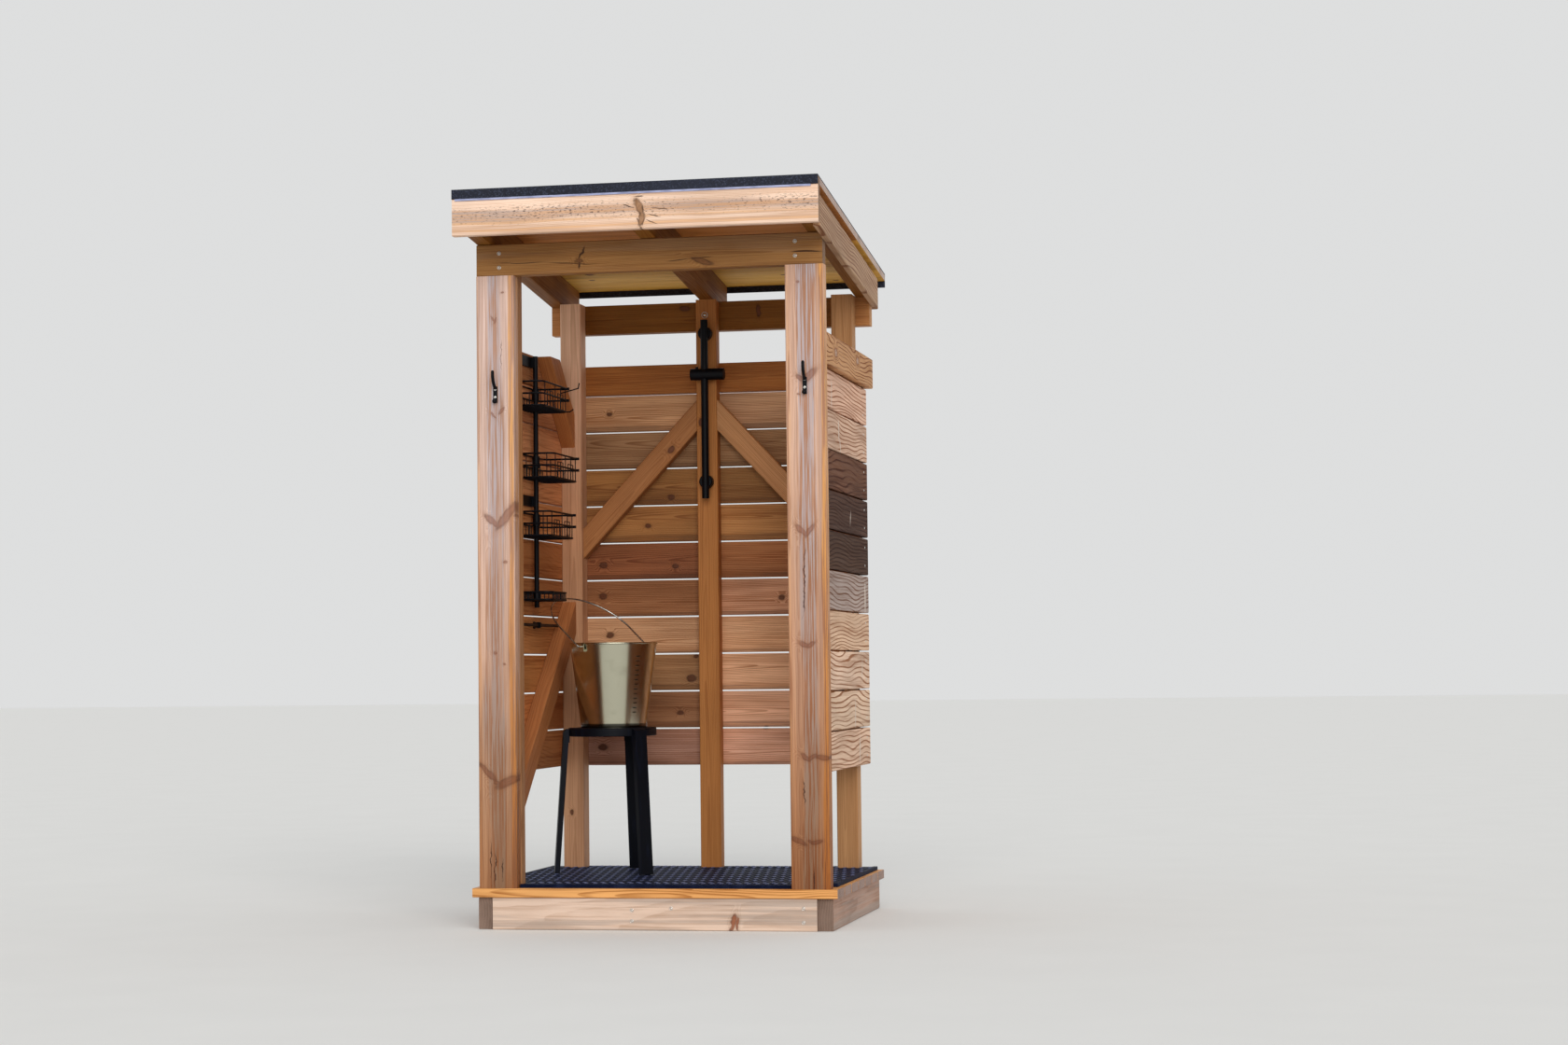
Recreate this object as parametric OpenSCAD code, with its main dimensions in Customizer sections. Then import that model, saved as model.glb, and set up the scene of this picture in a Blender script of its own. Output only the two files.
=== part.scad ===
// Open wooden shower stall with a boarded back and sides, a duckboard floor and a sloping felt roof.
// X runs to the right, Y to the back and Z up. All sizes are in millimetres.
// Pieces are written from the front face of the posts and the top of the floor, then put on the ground.

/* [Stall] */
// Width over the front planks
stall_w = 1100; // [900:10:1400]
// Depth from the front face of the planks to the back of the rear posts
frame_d = 861; // [760:1:1200]
// Clear height of the entrance under the header beam
entrance_h = 1897; // [1800:1:2300]
// Slope of the roof in degrees
roof_pitch = 6.3; // [4:0.1:12]

/* [Frame timber] */
// Thickness of the planks, beams, rails, rafters and joists
beam_t = 48; // [36:1:60]
// Height of the beams, rails, rafters and joists
beam_h = 98; // [73:1:123]
// Width of the front planks
plank_w = 120; // [98:1:148]
// Width of the studs and rear posts
post_w = 70; // [60:1:90]
// Width of the eased edges of the timber
ease = 2.5; // [1:0.5:4]
// Step between the outer edge of a front plank and the rails behind it
rail_setback = 2; // [0:1:10]
// Width of the rear wall braces
brace_w = 70; // [48:1:98]

/* [Walls] */
// Thickness of the wall boards
board_t = 28; // [19:1:34]
// Nominal width of the wall boards
board_w = 120; // [90:1:150]
// Gap between the wall boards
board_gap = 5; // [2:1:12]
// Height that the boards cover
wall_h = 1250; // [900:5:1320]
// Open height under the walls
wall_foot = 348; // [200:1:500]
// Slope of the rear wall braces in degrees
rear_brace_angle = 46.9; // [40:0.1:55]
// Height of the rear brace centres at the middle post
rear_brace_z = 1517; // [1350:1:1550]
// Width of the side wall braces
side_brace_w = 82; // [70:1:98]
// Slope of the upper side braces in degrees
upper_brace_angle = 43.5; // [38:0.5:55]
// Height of the upper side brace centres at the rear posts
upper_brace_z = 1474; // [1350:1:1500]
// Slope of the lower side braces in degrees
lower_brace_angle = 41.5; // [35:0.1:48]
// Height of the lower side brace centres at the rear posts
lower_brace_z = 843; // [750:1:950]

/* [Floor] */
// Thickness of the floor boards
floor_t = 28; // [21:1:34]
// Nominal width of the floor boards
floor_board_w = 120; // [90:1:150]
// How far the floor reaches in front of the planks
floor_lip = 4; // [0:1:20]
// How far the floor reaches behind the rear posts
floor_tail = 5; // [0:1:20]
// How far the floor reaches past the planks at each side
floor_side = 22; // [0:1:40]
// Inset of the base under the floor ends
base_inset = 16; // [0:1:40]
// Step between the front joist and the ends of the side joists
side_joist_step = 12; // [0:1:30]
// Thickness of the rubber mat
mat_t = 13; // [8:1:20]
// Gap between the mat and what it lies against
mat_gap = 4; // [2:1:10]
// Distance from the mat to the front edge of the floor
mat_front = 26; // [10:1:60]
// Distance from the mat to the other edges of the floor
mat_edge = 18; // [10:1:60]

/* [Roof] */
// Distance from the planks to the back of the front fascia
front_reach = 152; // [80:1:250]
// Distance from the rear posts to the eave
eave_reach = 194; // [120:1:250]
// Thickness of the roof boards
roof_board_t = 21; // [18:1:28]
// Nominal width of the roof boards
roof_board_w = 120; // [90:1:150]
// Thickness of the roofing felt
felt_t = 4; // [2:0.5:6]
// Height of the felt strip that hangs at the front
felt_drop = 29; // [20:1:40]
// Height of the felt strip that hangs at the eave
eave_drop = 42; // [33:1:50]
// Thickness of the front fascia
fascia_t = 28; // [21:1:34]
// How far the fascia hangs below the rafters
fascia_drop = 15; // [10:1:35]
// Thickness of the barge board
barge_t = 22; // [18:1:28]
// Height of the barge board
barge_h = 95; // [80:1:98]
// How far the barge board hangs below the rafters
barge_drop = 25; // [10:1:35]

/* [Shower rail] */
// Diameter of the rail tube
rail_d = 24; // [18:1:30]
// Length of the rail tube
rail_len = 598; // [500:1:700]
// Height of the lower end of the rail tube
rail_foot = 1236; // [1100:1:1300]
// Distance from the middle post to the rail's centre line
rail_offset = 30; // [27:1:60]
// Diameter of the wall bosses
boss_d = 45; // [40:1:60]
// Height of the hand shower holder's centre
holder_z = 1651; // [1500:1:1700]
// Width of the hand shower holder
holder_w = 113; // [80:1:120]
// Height of the hand shower holder
holder_h = 39; // [30:1:45]

/* [Caddy] */
// Diameter of the caddy pole
pole_d = 16; // [12:1:20]
// Distance from the wall boards to the pole's centre line
pole_offset = 20; // [16:1:30]
// Distance from the planks' front face to the pole's centre line
pole_y = 416; // [380:1:450]
// Height of the lower end of the pole
pole_foot = 872; // [830:1:900]
// Length of the wire baskets along the wall
basket_l = 285; // [230:1:300]
// Depth of the wire baskets from front to back
basket_w = 112; // [90:1:120]
// Height of the wire baskets
basket_h = 76; // [60:1:90]
// Diameter of the wire of the basket rims
wire_d = 6; // [5:0.5:7]
// Diameter of the thin wire between the rims
thin_d = 3; // [2.5:0.5:4]
// Radius of the basket corners
corner_r = 22; // [15:1:30]

/* [Stool and bucket] */
// Diameter of the stool seat
seat_d = 288; // [260:1:320]
// Height of the stool
stool_h = 468; // [420:1:480]
// Thickness of the stool seat
seat_t = 27; // [18:1:30]
// Width of the stool legs
leg_w = 45; // [35:1:60]
// Thickness of the stool legs
leg_t = 16; // [12:1:20]
// Diameter of the bucket's rim
bucket_top_d = 290; // [250:1:300]
// Diameter of the bucket's base
bucket_base_d = 213; // [190:1:230]
// Height of the bucket
bucket_h = 276; // [240:1:290]
// Thickness of the bucket's wall
bucket_t = 1.5; // [1:0.1:2]
// Diameter of the bucket's wire bail
bail_d = 5.5; // [4:0.5:7]
// Reach of the bail from its pivots
bail_reach = 262; // [240:1:270]
// Slope of the bail above the horizontal in degrees
bail_angle = 38; // [30:1:90]

/* [Hidden] */
$fn = 48;

// Outer faces of the studs and rear posts, where the boards are nailed
side_x = stall_w / 2 - beam_t - rail_setback;
// Inner faces of the studs and rear posts
inner_x = side_x - post_w;
// Front faces of the studs, the corner posts and the middle post
stud_y = beam_t;
corner_y = frame_d - post_w;
middle_y = frame_d - beam_t;
header_top = entrance_h + beam_h;
// Whole boards nearest to the nominal width fill each surface
board_count = round(wall_h / (board_w + board_gap));
board_pitch = wall_h / board_count;
wall_top = wall_foot + wall_h;
floor_d = frame_d + floor_lip + floor_tail;
floor_count = round(floor_d / (floor_board_w + board_gap));
floor_pitch = (floor_d + board_gap) / floor_count;
floor_x = stall_w / 2 + floor_side;
base_x = floor_x - base_inset;
base_d = floor_d - floor_lip;
ground = -floor_t - beam_h;
// Centres of the inner joists, which carry the posts
joist_x = [inner_x + post_w / 2, (post_w + beam_t) / 2 + 3];
inner_joist_x = [-joist_x[0], -joist_x[1], joist_x[1], joist_x[0]];

// Depth of the rafters' notches over the header beam and the rear rail
header_seat = 4;
rail_seat = 3;
roof_x = side_x + beam_t + barge_t;
eave_y = frame_d + eave_reach;
rafter_end = eave_y - 15;
barge_end = frame_d + beam_t - 9;
// Height of the rafters' underside at a depth y
function under_z(y) = header_top - header_seat + (beam_t - y) * tan(roof_pitch);
rear_rail_top = under_z(frame_d) + rail_seat;
roof_front = -front_reach - fascia_t - felt_t;
roof_rear = eave_y + felt_t;
// Longest distance that any cutting shape has to span
reach = 3000;

// Puts a piece on the ground with the roof's middle over the origin
module placed() {
    translate([0, -(roof_front + roof_rear) / 2, -ground]) children();
}

// Box between two corners
module block(low, high) {
    translate(low) cube(high - low);
}

// Rectangle with its four corners eased
module eased_section(w, h) {
    e = ease;
    polygon([[e, 0], [w - e, 0], [w, e], [w, h - e], [w - e, h], [e, h], [0, h - e], [0, e]]);
}

// Timber between two corners, with its long edges eased along axis 0, 1 or 2
module timber(low, high, axis) {
    s = high - low;
    if (axis == 0)
        translate(low) rotate([90, 0, 90]) linear_extrude(s[0]) eased_section(s[1], s[2]);
    else if (axis == 1)
        translate([low[0], high[1], low[2]]) rotate([90, 0, 0]) linear_extrude(s[1]) eased_section(s[0], s[2]);
    else
        translate(low) linear_extrude(s[2]) eased_section(s[0], s[1]);
}

// The same piece at the right, and mirrored at the left
module at_side(side) {
    mirror([side < 0 ? 1 : 0, 0, 0]) children();
}

// Frame whose XY plane is the underside of the rafters
module roof_frame() {
    translate([0, beam_t, header_top - header_seat]) rotate([-roof_pitch, 0, 0]) children();
}

// Keeps what lies between two plumb cuts
module plumb(front, rear) {
    intersection() {
        children();
        block([-reach, front, -reach], [reach, rear, reach]);
    }
}

// Everything more than h above the underside of the rafters
module above_roof_plane(h) {
    roof_frame() block([-reach, -reach, h], [reach, reach, h + reach]);
}

// Slab that follows the roof between two heights over the rafters' underside
module roof_slab(x0, x1, z0, z1, front, rear) {
    plumb(front, rear) roof_frame() block([x0, -reach, z0], [x1, reach, z1]);
}

// Timber that follows the roof in the same way
module roof_timber(x0, x1, z0, z1, front, rear) {
    plumb(front, rear) roof_frame() timber([x0, -reach, z0], [x1, reach, z1], 1);
}

module base_front_joist() {
    color("tan") placed()
        timber([-base_x + beam_t, 0, ground], [base_x - beam_t, beam_t, -floor_t], 0);
}

module base_rear_joist() {
    color("tan") placed()
        timber([-base_x + beam_t, base_d - beam_t, ground], [base_x - beam_t, base_d, -floor_t], 0);
}

module base_side_joists() {
    color("tan") placed() for (side = [-1, 1]) at_side(side)
        timber([base_x - beam_t, side_joist_step, ground], [base_x, base_d, -floor_t], 1);
}

module base_inner_joists() {
    color("tan") placed() for (x = inner_joist_x)
        timber([x - beam_t / 2, beam_t, ground], [x + beam_t / 2, base_d - beam_t, -floor_t], 1);
}

module floor_boards() {
    color("sandybrown") placed() for (i = [0 : floor_count - 1])
        translate([0, i * floor_pitch - floor_lip, 0])
            timber([-floor_x, 0, -floor_t], [floor_x, floor_pitch - board_gap, 0], 0);
}

module front_plank(side) {
    color("burlywood") placed() at_side(side)
        timber([stall_w / 2 - plank_w, 0, 0], [stall_w / 2, beam_t, entrance_h], 2);
}

module front_left_plank() { front_plank(-1); }

module front_right_plank() { front_plank(1); }

module front_stud(side) {
    color("peru") placed() at_side(side)
        timber([inner_x, stud_y, 0], [side_x, stud_y + beam_t, header_top], 2);
}

module front_left_stud() { front_stud(-1); }

module front_right_stud() { front_stud(1); }

module header_beam() {
    color("peru") placed()
        timber([-side_x - beam_t, 0, entrance_h], [side_x + beam_t, beam_t, header_top], 0);
}

module rear_corner_post(side) {
    color("peru") placed() at_side(side)
        timber([inner_x, corner_y, 0], [side_x, frame_d, rear_rail_top], 2);
}

module rear_left_post() { rear_corner_post(-1); }

module rear_right_post() { rear_corner_post(1); }

// The middle post carries the middle rafter, so its top is cut to the slope
module rear_middle_post() {
    color("peru") placed() difference() {
        timber([-post_w / 2, middle_y, 0], [post_w / 2, frame_d, header_top], 2);
        above_roof_plane(0);
    }
}

module rear_top_rail() {
    color("peru") placed()
        timber([-roof_x + barge_t, frame_d, rear_rail_top - beam_h],
               [roof_x - barge_t, frame_d + beam_t, rear_rail_top], 0);
}

module side_boards(side) {
    color("chocolate") placed() at_side(side) for (i = [0 : board_count - 1])
        timber([side_x, stud_y, wall_foot + i * board_pitch],
               [side_x + board_t, frame_d + board_t, wall_foot + (i + 1) * board_pitch - board_gap], 1);
}

module left_wall_boards() { side_boards(-1); }

module right_wall_boards() { side_boards(1); }

module rear_wall_boards() {
    color("chocolate") placed() for (i = [0 : board_count - 1])
        timber([-side_x, frame_d, wall_foot + i * board_pitch],
               [side_x, frame_d + board_t, wall_foot + (i + 1) * board_pitch - board_gap], 0);
}

module side_rail(side) {
    color("peru") placed() at_side(side)
        timber([side_x, stud_y, wall_top], [side_x + beam_t, frame_d + beam_t, wall_top + beam_h], 1);
}

module left_wall_rail() { side_rail(-1); }

module right_wall_rail() { side_rail(1); }

module rear_wall_rail() {
    color("peru") placed()
        timber([-side_x, frame_d, wall_top], [side_x, frame_d + beam_t, wall_top + beam_h], 0);
}

// Brace in the YZ plane that rises to the front from the corner post, and is kept inside the frame
module side_brace(z, angle) {
    intersection() {
        translate([side_x - beam_t, corner_y, z]) rotate([angle, 0, 0])
            timber([0, -reach, -side_brace_w / 2], [beam_t, reach, side_brace_w / 2], 1);
        block([inner_x, stud_y + beam_t, 0], [side_x, corner_y, wall_top + beam_h]);
    }
}

module side_braces(side) {
    color("sienna") placed() at_side(side) {
        side_brace(upper_brace_z, -upper_brace_angle);
        side_brace(lower_brace_z, lower_brace_angle);
    }
}

module left_wall_braces() { side_braces(-1); }

module right_wall_braces() { side_braces(1); }

module rear_wall_braces() {
    color("sienna") placed() for (side = [-1, 1]) at_side(side) intersection() {
        translate([post_w / 2, middle_y, rear_brace_z]) rotate([0, rear_brace_angle, 0])
            timber([-reach, 0, -brace_w / 2], [reach, beam_t, brace_w / 2], 0);
        block([post_w / 2, middle_y, 0], [inner_x, frame_d, wall_top]);
    }
}

// Rafter that starts at x, notched over the header beam and the rear rail
module rafter(x) {
    color("goldenrod") placed() difference() {
        roof_timber(x, x + beam_t, 0, beam_h, -front_reach, rafter_end);
        block([-reach, 0, entrance_h], [reach, beam_t, header_top]);
        block([-reach, frame_d, 0], [reach, frame_d + beam_t, rear_rail_top]);
    }
}

module left_rafter() { rafter(-side_x - beam_t); }

module right_rafter() { rafter(side_x); }

module middle_rafter() { rafter(-beam_t / 2); }

module roof_boards() {
    joint = 1;
    slope_l = (eave_y + front_reach) / cos(roof_pitch);
    count = round(slope_l / roof_board_w);
    pitch = (slope_l + joint) / count;
    color("khaki") placed() plumb(-front_reach, eave_y) roof_frame()
        for (i = [0 : count - 1]) {
            low = -(front_reach + beam_t) / cos(roof_pitch) + i * pitch;
            block([-roof_x, i == 0 ? -reach : low, beam_h],
                  [roof_x, i == count - 1 ? reach : low + pitch - joint, beam_h + roof_board_t]);
        }
}

module roof_felt() {
    color("dimgray") placed()
        roof_slab(-roof_x, roof_x, beam_h + roof_board_t, beam_h + roof_board_t + felt_t,
                  -front_reach - fascia_t, eave_y);
}

// Strip of felt folded down over the roof's edge between two depths
module felt_strip(front, rear, drop) {
    color("dimgray") placed()
        roof_slab(-roof_x, roof_x, beam_h + roof_board_t - drop, beam_h + roof_board_t + felt_t, front, rear);
}

module front_felt_strip() { felt_strip(roof_front, -front_reach - fascia_t, felt_drop - felt_t); }

module eave_felt_strip() { felt_strip(eave_y, roof_rear, eave_drop); }

module front_fascia() {
    color("burlywood") placed() difference() {
        timber([-roof_x, -front_reach - fascia_t, under_z(-front_reach) - fascia_drop],
               [roof_x, -front_reach, under_z(-front_reach) + reach], 0);
        above_roof_plane(beam_h + roof_board_t);
    }
}

// Only the right side of the roof has a barge board
module right_barge_board() {
    color("burlywood") placed()
        roof_timber(side_x + beam_t, roof_x, -barge_drop, barge_h - barge_drop, -front_reach, barge_end);
}

// Mat cut from one sheet to pass round the planks, studs and posts
module rubber_mat() {
    mat_x = floor_x - mat_edge;
    mat_rear = floor_d - floor_lip - mat_edge;
    color("dimgray") placed() difference() {
        block([-mat_x, mat_front - floor_lip, 0], [mat_x, mat_rear, mat_t]);
        for (side = [-1, 1]) at_side(side) {
            block([inner_x - mat_gap, -floor_lip, -1], [floor_x, stud_y + beam_t + mat_gap, mat_t + 1]);
            block([inner_x - mat_gap, corner_y - mat_gap, -1], [side_x + mat_gap, floor_d, mat_t + 1]);
        }
        block([-post_w / 2 - mat_gap, middle_y - mat_gap, -1],
              [post_w / 2 + mat_gap, floor_d, mat_t + 1]);
    }
}

rail_y = middle_y - rail_offset;
// Heights of the two bosses
boss_z = [rail_foot + 57, rail_foot + rail_len - 44];
boss_edge = 3;

module shower_rail() {
    color("black") placed() translate([0, rail_y, rail_foot]) difference() {
        cylinder(d = rail_d, h = rail_len);
        // Bore of the tube, closed by end caps
        translate([0, 0, 3]) cylinder(d = rail_d - 4, h = rail_len - 6);
    }
}

// Round wall boss with a bevelled front, which the tube lies in
module rail_brackets() {
    color("black") placed() for (z = boss_z) translate([0, rail_y, z]) difference() {
        rotate([-90, 0, 0]) {
            translate([0, 0, boss_edge]) cylinder(d = boss_d, h = rail_offset - boss_edge);
            cylinder(d1 = boss_d - 2 * boss_edge, d2 = boss_d, h = boss_edge);
        }
        cylinder(d = rail_d, h = boss_d + 1, center = true);
    }
}

// Sliding holder for a hand shower, with a clamping knob, bored for the tube with a running clearance
module rail_holder() {
    clearance = 0.4;
    color("black") placed() translate([0, rail_y, holder_z]) difference() {
        union() {
            translate([10, 0, 0]) rotate([0, 90, 0]) cylinder(d = holder_h, h = holder_w, center = true);
            translate([-26, 0, 0]) cylinder(d = 9, h = holder_h / 2 + 6);
        }
        cylinder(d = rail_d + 2 * clearance, h = holder_h + 1, center = true);
    }
}

// Round bar through points that give the distance to the front, the height and the bar's radius
module bent_bar(path, sides = 16) {
    n = len(path);
    points = [for (i = [0 : n - 1]) let (
        way = path[min(i + 1, n - 1)] - path[max(i - 1, 0)],
        u = way / norm([way[0], way[1]]),
        r = path[i][2]
    ) for (k = [0 : sides - 1]) let (a = 360 * k / sides)
        [r * cos(a), r * sin(a) * u[1] - path[i][0], path[i][1] + r * sin(a) * u[0]]];
    walls = [for (i = [0 : n - 2]) for (k = [0 : sides - 1]) let (
        a = i * sides + k,
        b = i * sides + (k + 1) % sides
    ) for (t = [[b, a, a + sides], [b, a + sides, b + sides]]) t];
    polyhedron(points, concat(
        [[for (k = [0 : sides - 1]) k]],
        walls,
        [[for (k = [1 : sides]) n * sides - k]]
    ));
}

// Coat hook with a strap, a long upper prong that rises in a curve and a short lower prong
module coat_hook() {
    strap_w = 13;
    strap_t = 4;
    strap_h = 55;
    // Each point's distance to the front, height and radius
    prong = [[2, 49, 5], [6, 50.5, 5], [12, 54.5, 5], [19, 61, 5], [26, 71, 5], [30, 82, 5], [31, 98, 5],
        [31, 101, 4], [31, 102.8, 2]];
    block([-strap_w / 2, -strap_t, 4], [strap_w / 2, 0, strap_h]);
    bent_bar(prong);
    translate([0, -1, 9]) rotate([90, 0, 0]) cylinder(d = 10, h = 10);
    translate([0, -11, 9]) sphere(d = 15);
}

module coat_hooks() {
    hook_z = 1496;
    hook_x = stall_w / 2 - 61;
    color("black") placed() for (side = [-1, 1]) translate([side * hook_x, 0, hook_z]) coat_hook();
}

pole_x = -side_x + pole_offset;
pole_top = wall_top + beam_h - 8;
// Tops of the three baskets and of the slotted rack
basket_z = [1582, 1362, 1174];
rack_z = 918;
// Distance of each basket's middle from the pole along the wall
basket_shift = [-113, 3, -43];
// Running clearance of the baskets on the pole
pole_clearance = 0.3;
// Heights of the two wall arms of the caddy
arm_z = [1668, 1216];
arm_h = 34;
arm_t = 8;
arm_l = 190;

module caddy_pole() {
    color("black") placed() {
        translate([pole_x, pole_y, pole_foot]) cylinder(d = pole_d, h = pole_top - pole_foot);
        for (z = arm_z) {
            block([-side_x, pole_y - arm_l, z - arm_h / 2], [-side_x + arm_t, pole_y + pole_d, z + arm_h / 2]);
            block([-side_x, pole_y - pole_d / 2, z - arm_h / 2], [pole_x, pole_y + pole_d / 2, z + arm_h / 2]);
        }
    }
}

basket_back = -side_x + 6;

// Straight wire between two points
module rod(a, b, d, sides = 8) {
    v = b - a;
    translate(a) rotate([0, acos(v[2] / norm(v)), atan2(v[1], v[0])]) cylinder(d = d, h = norm(v), $fn = sides);
}

// Flat ring of wire at height z with rounded corners, from depth y0 to y1
module wire_ring(y0, y1, z) {
    x0 = basket_back;
    x1 = basket_back + basket_w;
    r = corner_r;
    for (x = [x0, x1]) rod([x, y0 + r, z], [x, y1 - r, z], wire_d);
    for (y = [y0, y1]) rod([x0 + r, y, z], [x1 - r, y, z], wire_d);
    for (c = [[x1 - r, y1 - r, 0], [x0 + r, y1 - r, 90], [x0 + r, y0 + r, 180], [x1 - r, y0 + r, 270]])
        translate([c[0], c[1], z]) rotate([0, 0, c[2]])
            rotate_extrude(angle = 90, $fn = 32) translate([r, 0]) circle(d = wire_d, $fn = 8);
}

// Hole for the caddy's pole
module pole_passage(z, h) {
    translate([pole_x, pole_y, z - wire_d]) cylinder(d = pole_d + 2 * pole_clearance, h = h + 2 * wire_d);
}

// Sleeve that carries a basket on the pole
module pole_sleeve(z, h) {
    translate([pole_x, pole_y, z]) cylinder(d = pole_d + 8, h = h);
}

module wire_basket(i) {
    x0 = basket_back;
    x1 = basket_back + basket_w;
    y0 = pole_y + basket_shift[i] - basket_l / 2;
    y1 = y0 + basket_l;
    top = basket_z[i];
    mid = top - basket_h / 2;
    low = top - basket_h;
    // Even steps along the straight part of each side
    along = 8;
    step_y = (basket_l - 2 * corner_r) / along;
    across = 3;
    step_x = (basket_w - 2 * corner_r) / across;
    loop_h = 13;
    difference() {
        union() {
            for (z = [top, mid, low]) wire_ring(y0, y1, z);
            // Bottom wires and uprights of the long sides
            for (k = [0 : along]) {
                y = y0 + corner_r + k * step_y;
                rod([x0, y, low], [x1, y, low], thin_d);
                rod([x0, y, low], [x0, y, mid], thin_d);
                rod([x1, y, low], [x1, y, k % 4 == 0 ? top : mid + loop_h], thin_d);
            }
            // Loops over the middle rim on the side to the room
            for (k = [0 : along - 1]) if (k % 4 == 1 || k % 4 == 2)
                rod([x1, y0 + corner_r + k * step_y, mid + loop_h],
                    [x1, y0 + corner_r + (k + 1) * step_y, mid + loop_h], thin_d);
            // Uprights of the ends
            for (y = [y0, y1], k = [0 : across]) {
                x = x0 + corner_r + k * step_x;
                rod([x, y, low], [x, y, k % 3 == 0 ? top : mid], thin_d);
            }
            // Flat ends of the rear rims
            for (z = [top, mid])
                block([x1 - corner_r, y1 - 3, z - wire_d * 0.7], [x1 + 7, y1 + 3, z + wire_d * 0.7]);
            pole_sleeve(mid, basket_h / 2);
            if (i == 0) basket_hooks(x1, y1, top, low);
        }
        pole_passage(low, basket_h);
    }
}

// Two hooks that reach into the room from the rear end of the top basket
module basket_hooks(x, y, top, low) {
    d = thin_d + 1;
    rod([x - corner_r, y, top - 14], [x + 38, y, top + 1], d);
    rod([x + 37, y, top - 1], [x + 41, y, top + 18], d);
    rod([x - corner_r + 1, y, low + 1], [x + 8, y, low + 1], d);
    rod([x + 7, y, low], [x + 21, y, low + 9], d);
}

module top_basket() { color("black") placed() wire_basket(0); }

module middle_basket() { color("black") placed() wire_basket(1); }

module bottom_basket() { color("black") placed() wire_basket(2); }

// Narrow soap rack with slots in its sides and wires across it
module caddy_rack() {
    rack_l = 190;
    rack_h = 24;
    slots = 11;
    x0 = basket_back;
    x1 = basket_back + basket_w;
    y1 = pole_y + 15;
    y0 = y1 - rack_l;
    low = rack_z - rack_h;
    step_y = (rack_l - 2 * corner_r) / slots;
    ends = 5;
    step_x = (basket_w - 2 * corner_r) / ends;
    color("black") placed() difference() {
        union() {
            for (z = [rack_z, low]) wire_ring(y0, y1, z);
            for (k = [0 : slots]) {
                y = y0 + corner_r + k * step_y;
                rod([x0, y, low], [x1, y, low], thin_d);
                for (x = [x0, x1]) rod([x, y, low], [x, y, rack_z], thin_d);
            }
            for (y = [y0, y1], k = [0 : ends]) {
                x = x0 + corner_r + k * step_x;
                rod([x, y, low], [x, y, rack_z], thin_d);
            }
            pole_sleeve(low, rack_h);
        }
        pole_passage(low, rack_h);
    }
}

// Towel bar on one round stem in its middle
module towel_bar() {
    bar_z = 816;
    bar_y = 447;
    bar_l = 452;
    bar_d = 10;
    stand_off = 16;
    color("black") placed() translate([-side_x, bar_y, bar_z]) {
        rotate([0, 90, 0]) cylinder(d = 24, h = 4);
        rotate([0, 90, 0]) cylinder(d = 12, h = stand_off);
        translate([stand_off, 0, 0]) rotate([90, 0, 0]) {
            cylinder(d = bar_d, h = bar_l, center = true);
            cylinder(d = bar_d * 2, h = 18, center = true);
            for (end = [-1, 1]) translate([0, 0, end * bar_l / 2]) sphere(d = bar_d);
        }
    }
}

// Middle of the stool and the bucket, and the direction of the first leg
stool_x = -266;
stool_y = 546;
leg_angle = 199.5;
seat_top = mat_t + stool_h;
// How far the legs' feet stand out from their tops
leg_splay = 31;

module stool_seat() {
    r = seat_d / 2;
    edge = 6;
    color("black") placed() translate([stool_x, stool_y, seat_top - seat_t]) rotate_extrude($fn = 96)
        polygon(concat([[0, 0], [r - 2, 0], [r, 2]],
                       [for (a = [0 : 15 : 90]) [r - edge + edge * cos(a), seat_t - edge + edge * sin(a)]],
                       [[0, seat_t]]));
}

// Leg with a rounded knee beside the seat, which splays to its foot
module stool_leg() {
    r = seat_d / 2;
    knee = leg_t - 1;
    top = seat_top - 3;
    rotate([90, 0, 0]) linear_extrude(leg_w, center = true)
        polygon(concat([[r - 4, seat_top - seat_t - 20], [r - 4, top]],
                       [for (a = [90 : -15 : 0]) [r + leg_t - knee + knee * cos(a), top - knee + knee * sin(a)]],
                       [[r + leg_t + leg_splay, mat_t], [r + leg_splay, mat_t], [r, seat_top - seat_t - 20]]));
}

module stool_legs() {
    color("black") placed() translate([stool_x, stool_y, 0]) difference() {
        for (i = [0 : 2]) rotate([0, 0, leg_angle + i * 120]) stool_leg();
        translate([0, 0, seat_top - seat_t]) cylinder(d = seat_d, h = seat_t + 1, $fn = 96);
    }
}

bucket_x = -260;
ear_drop = 13;
ear_z = seat_top + bucket_h - ear_drop;
// Direction of the ears, seen from above
ear_angle = 240;
ear_r = bucket_top_d / 2;
ear_t = 3;
pin_clearance = 0.6;

// Outer radius of the bucket at a height over its base
function bucket_r(h) = (bucket_base_d + (bucket_top_d - 6 - bucket_base_d) * h / bucket_h) / 2;

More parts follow.
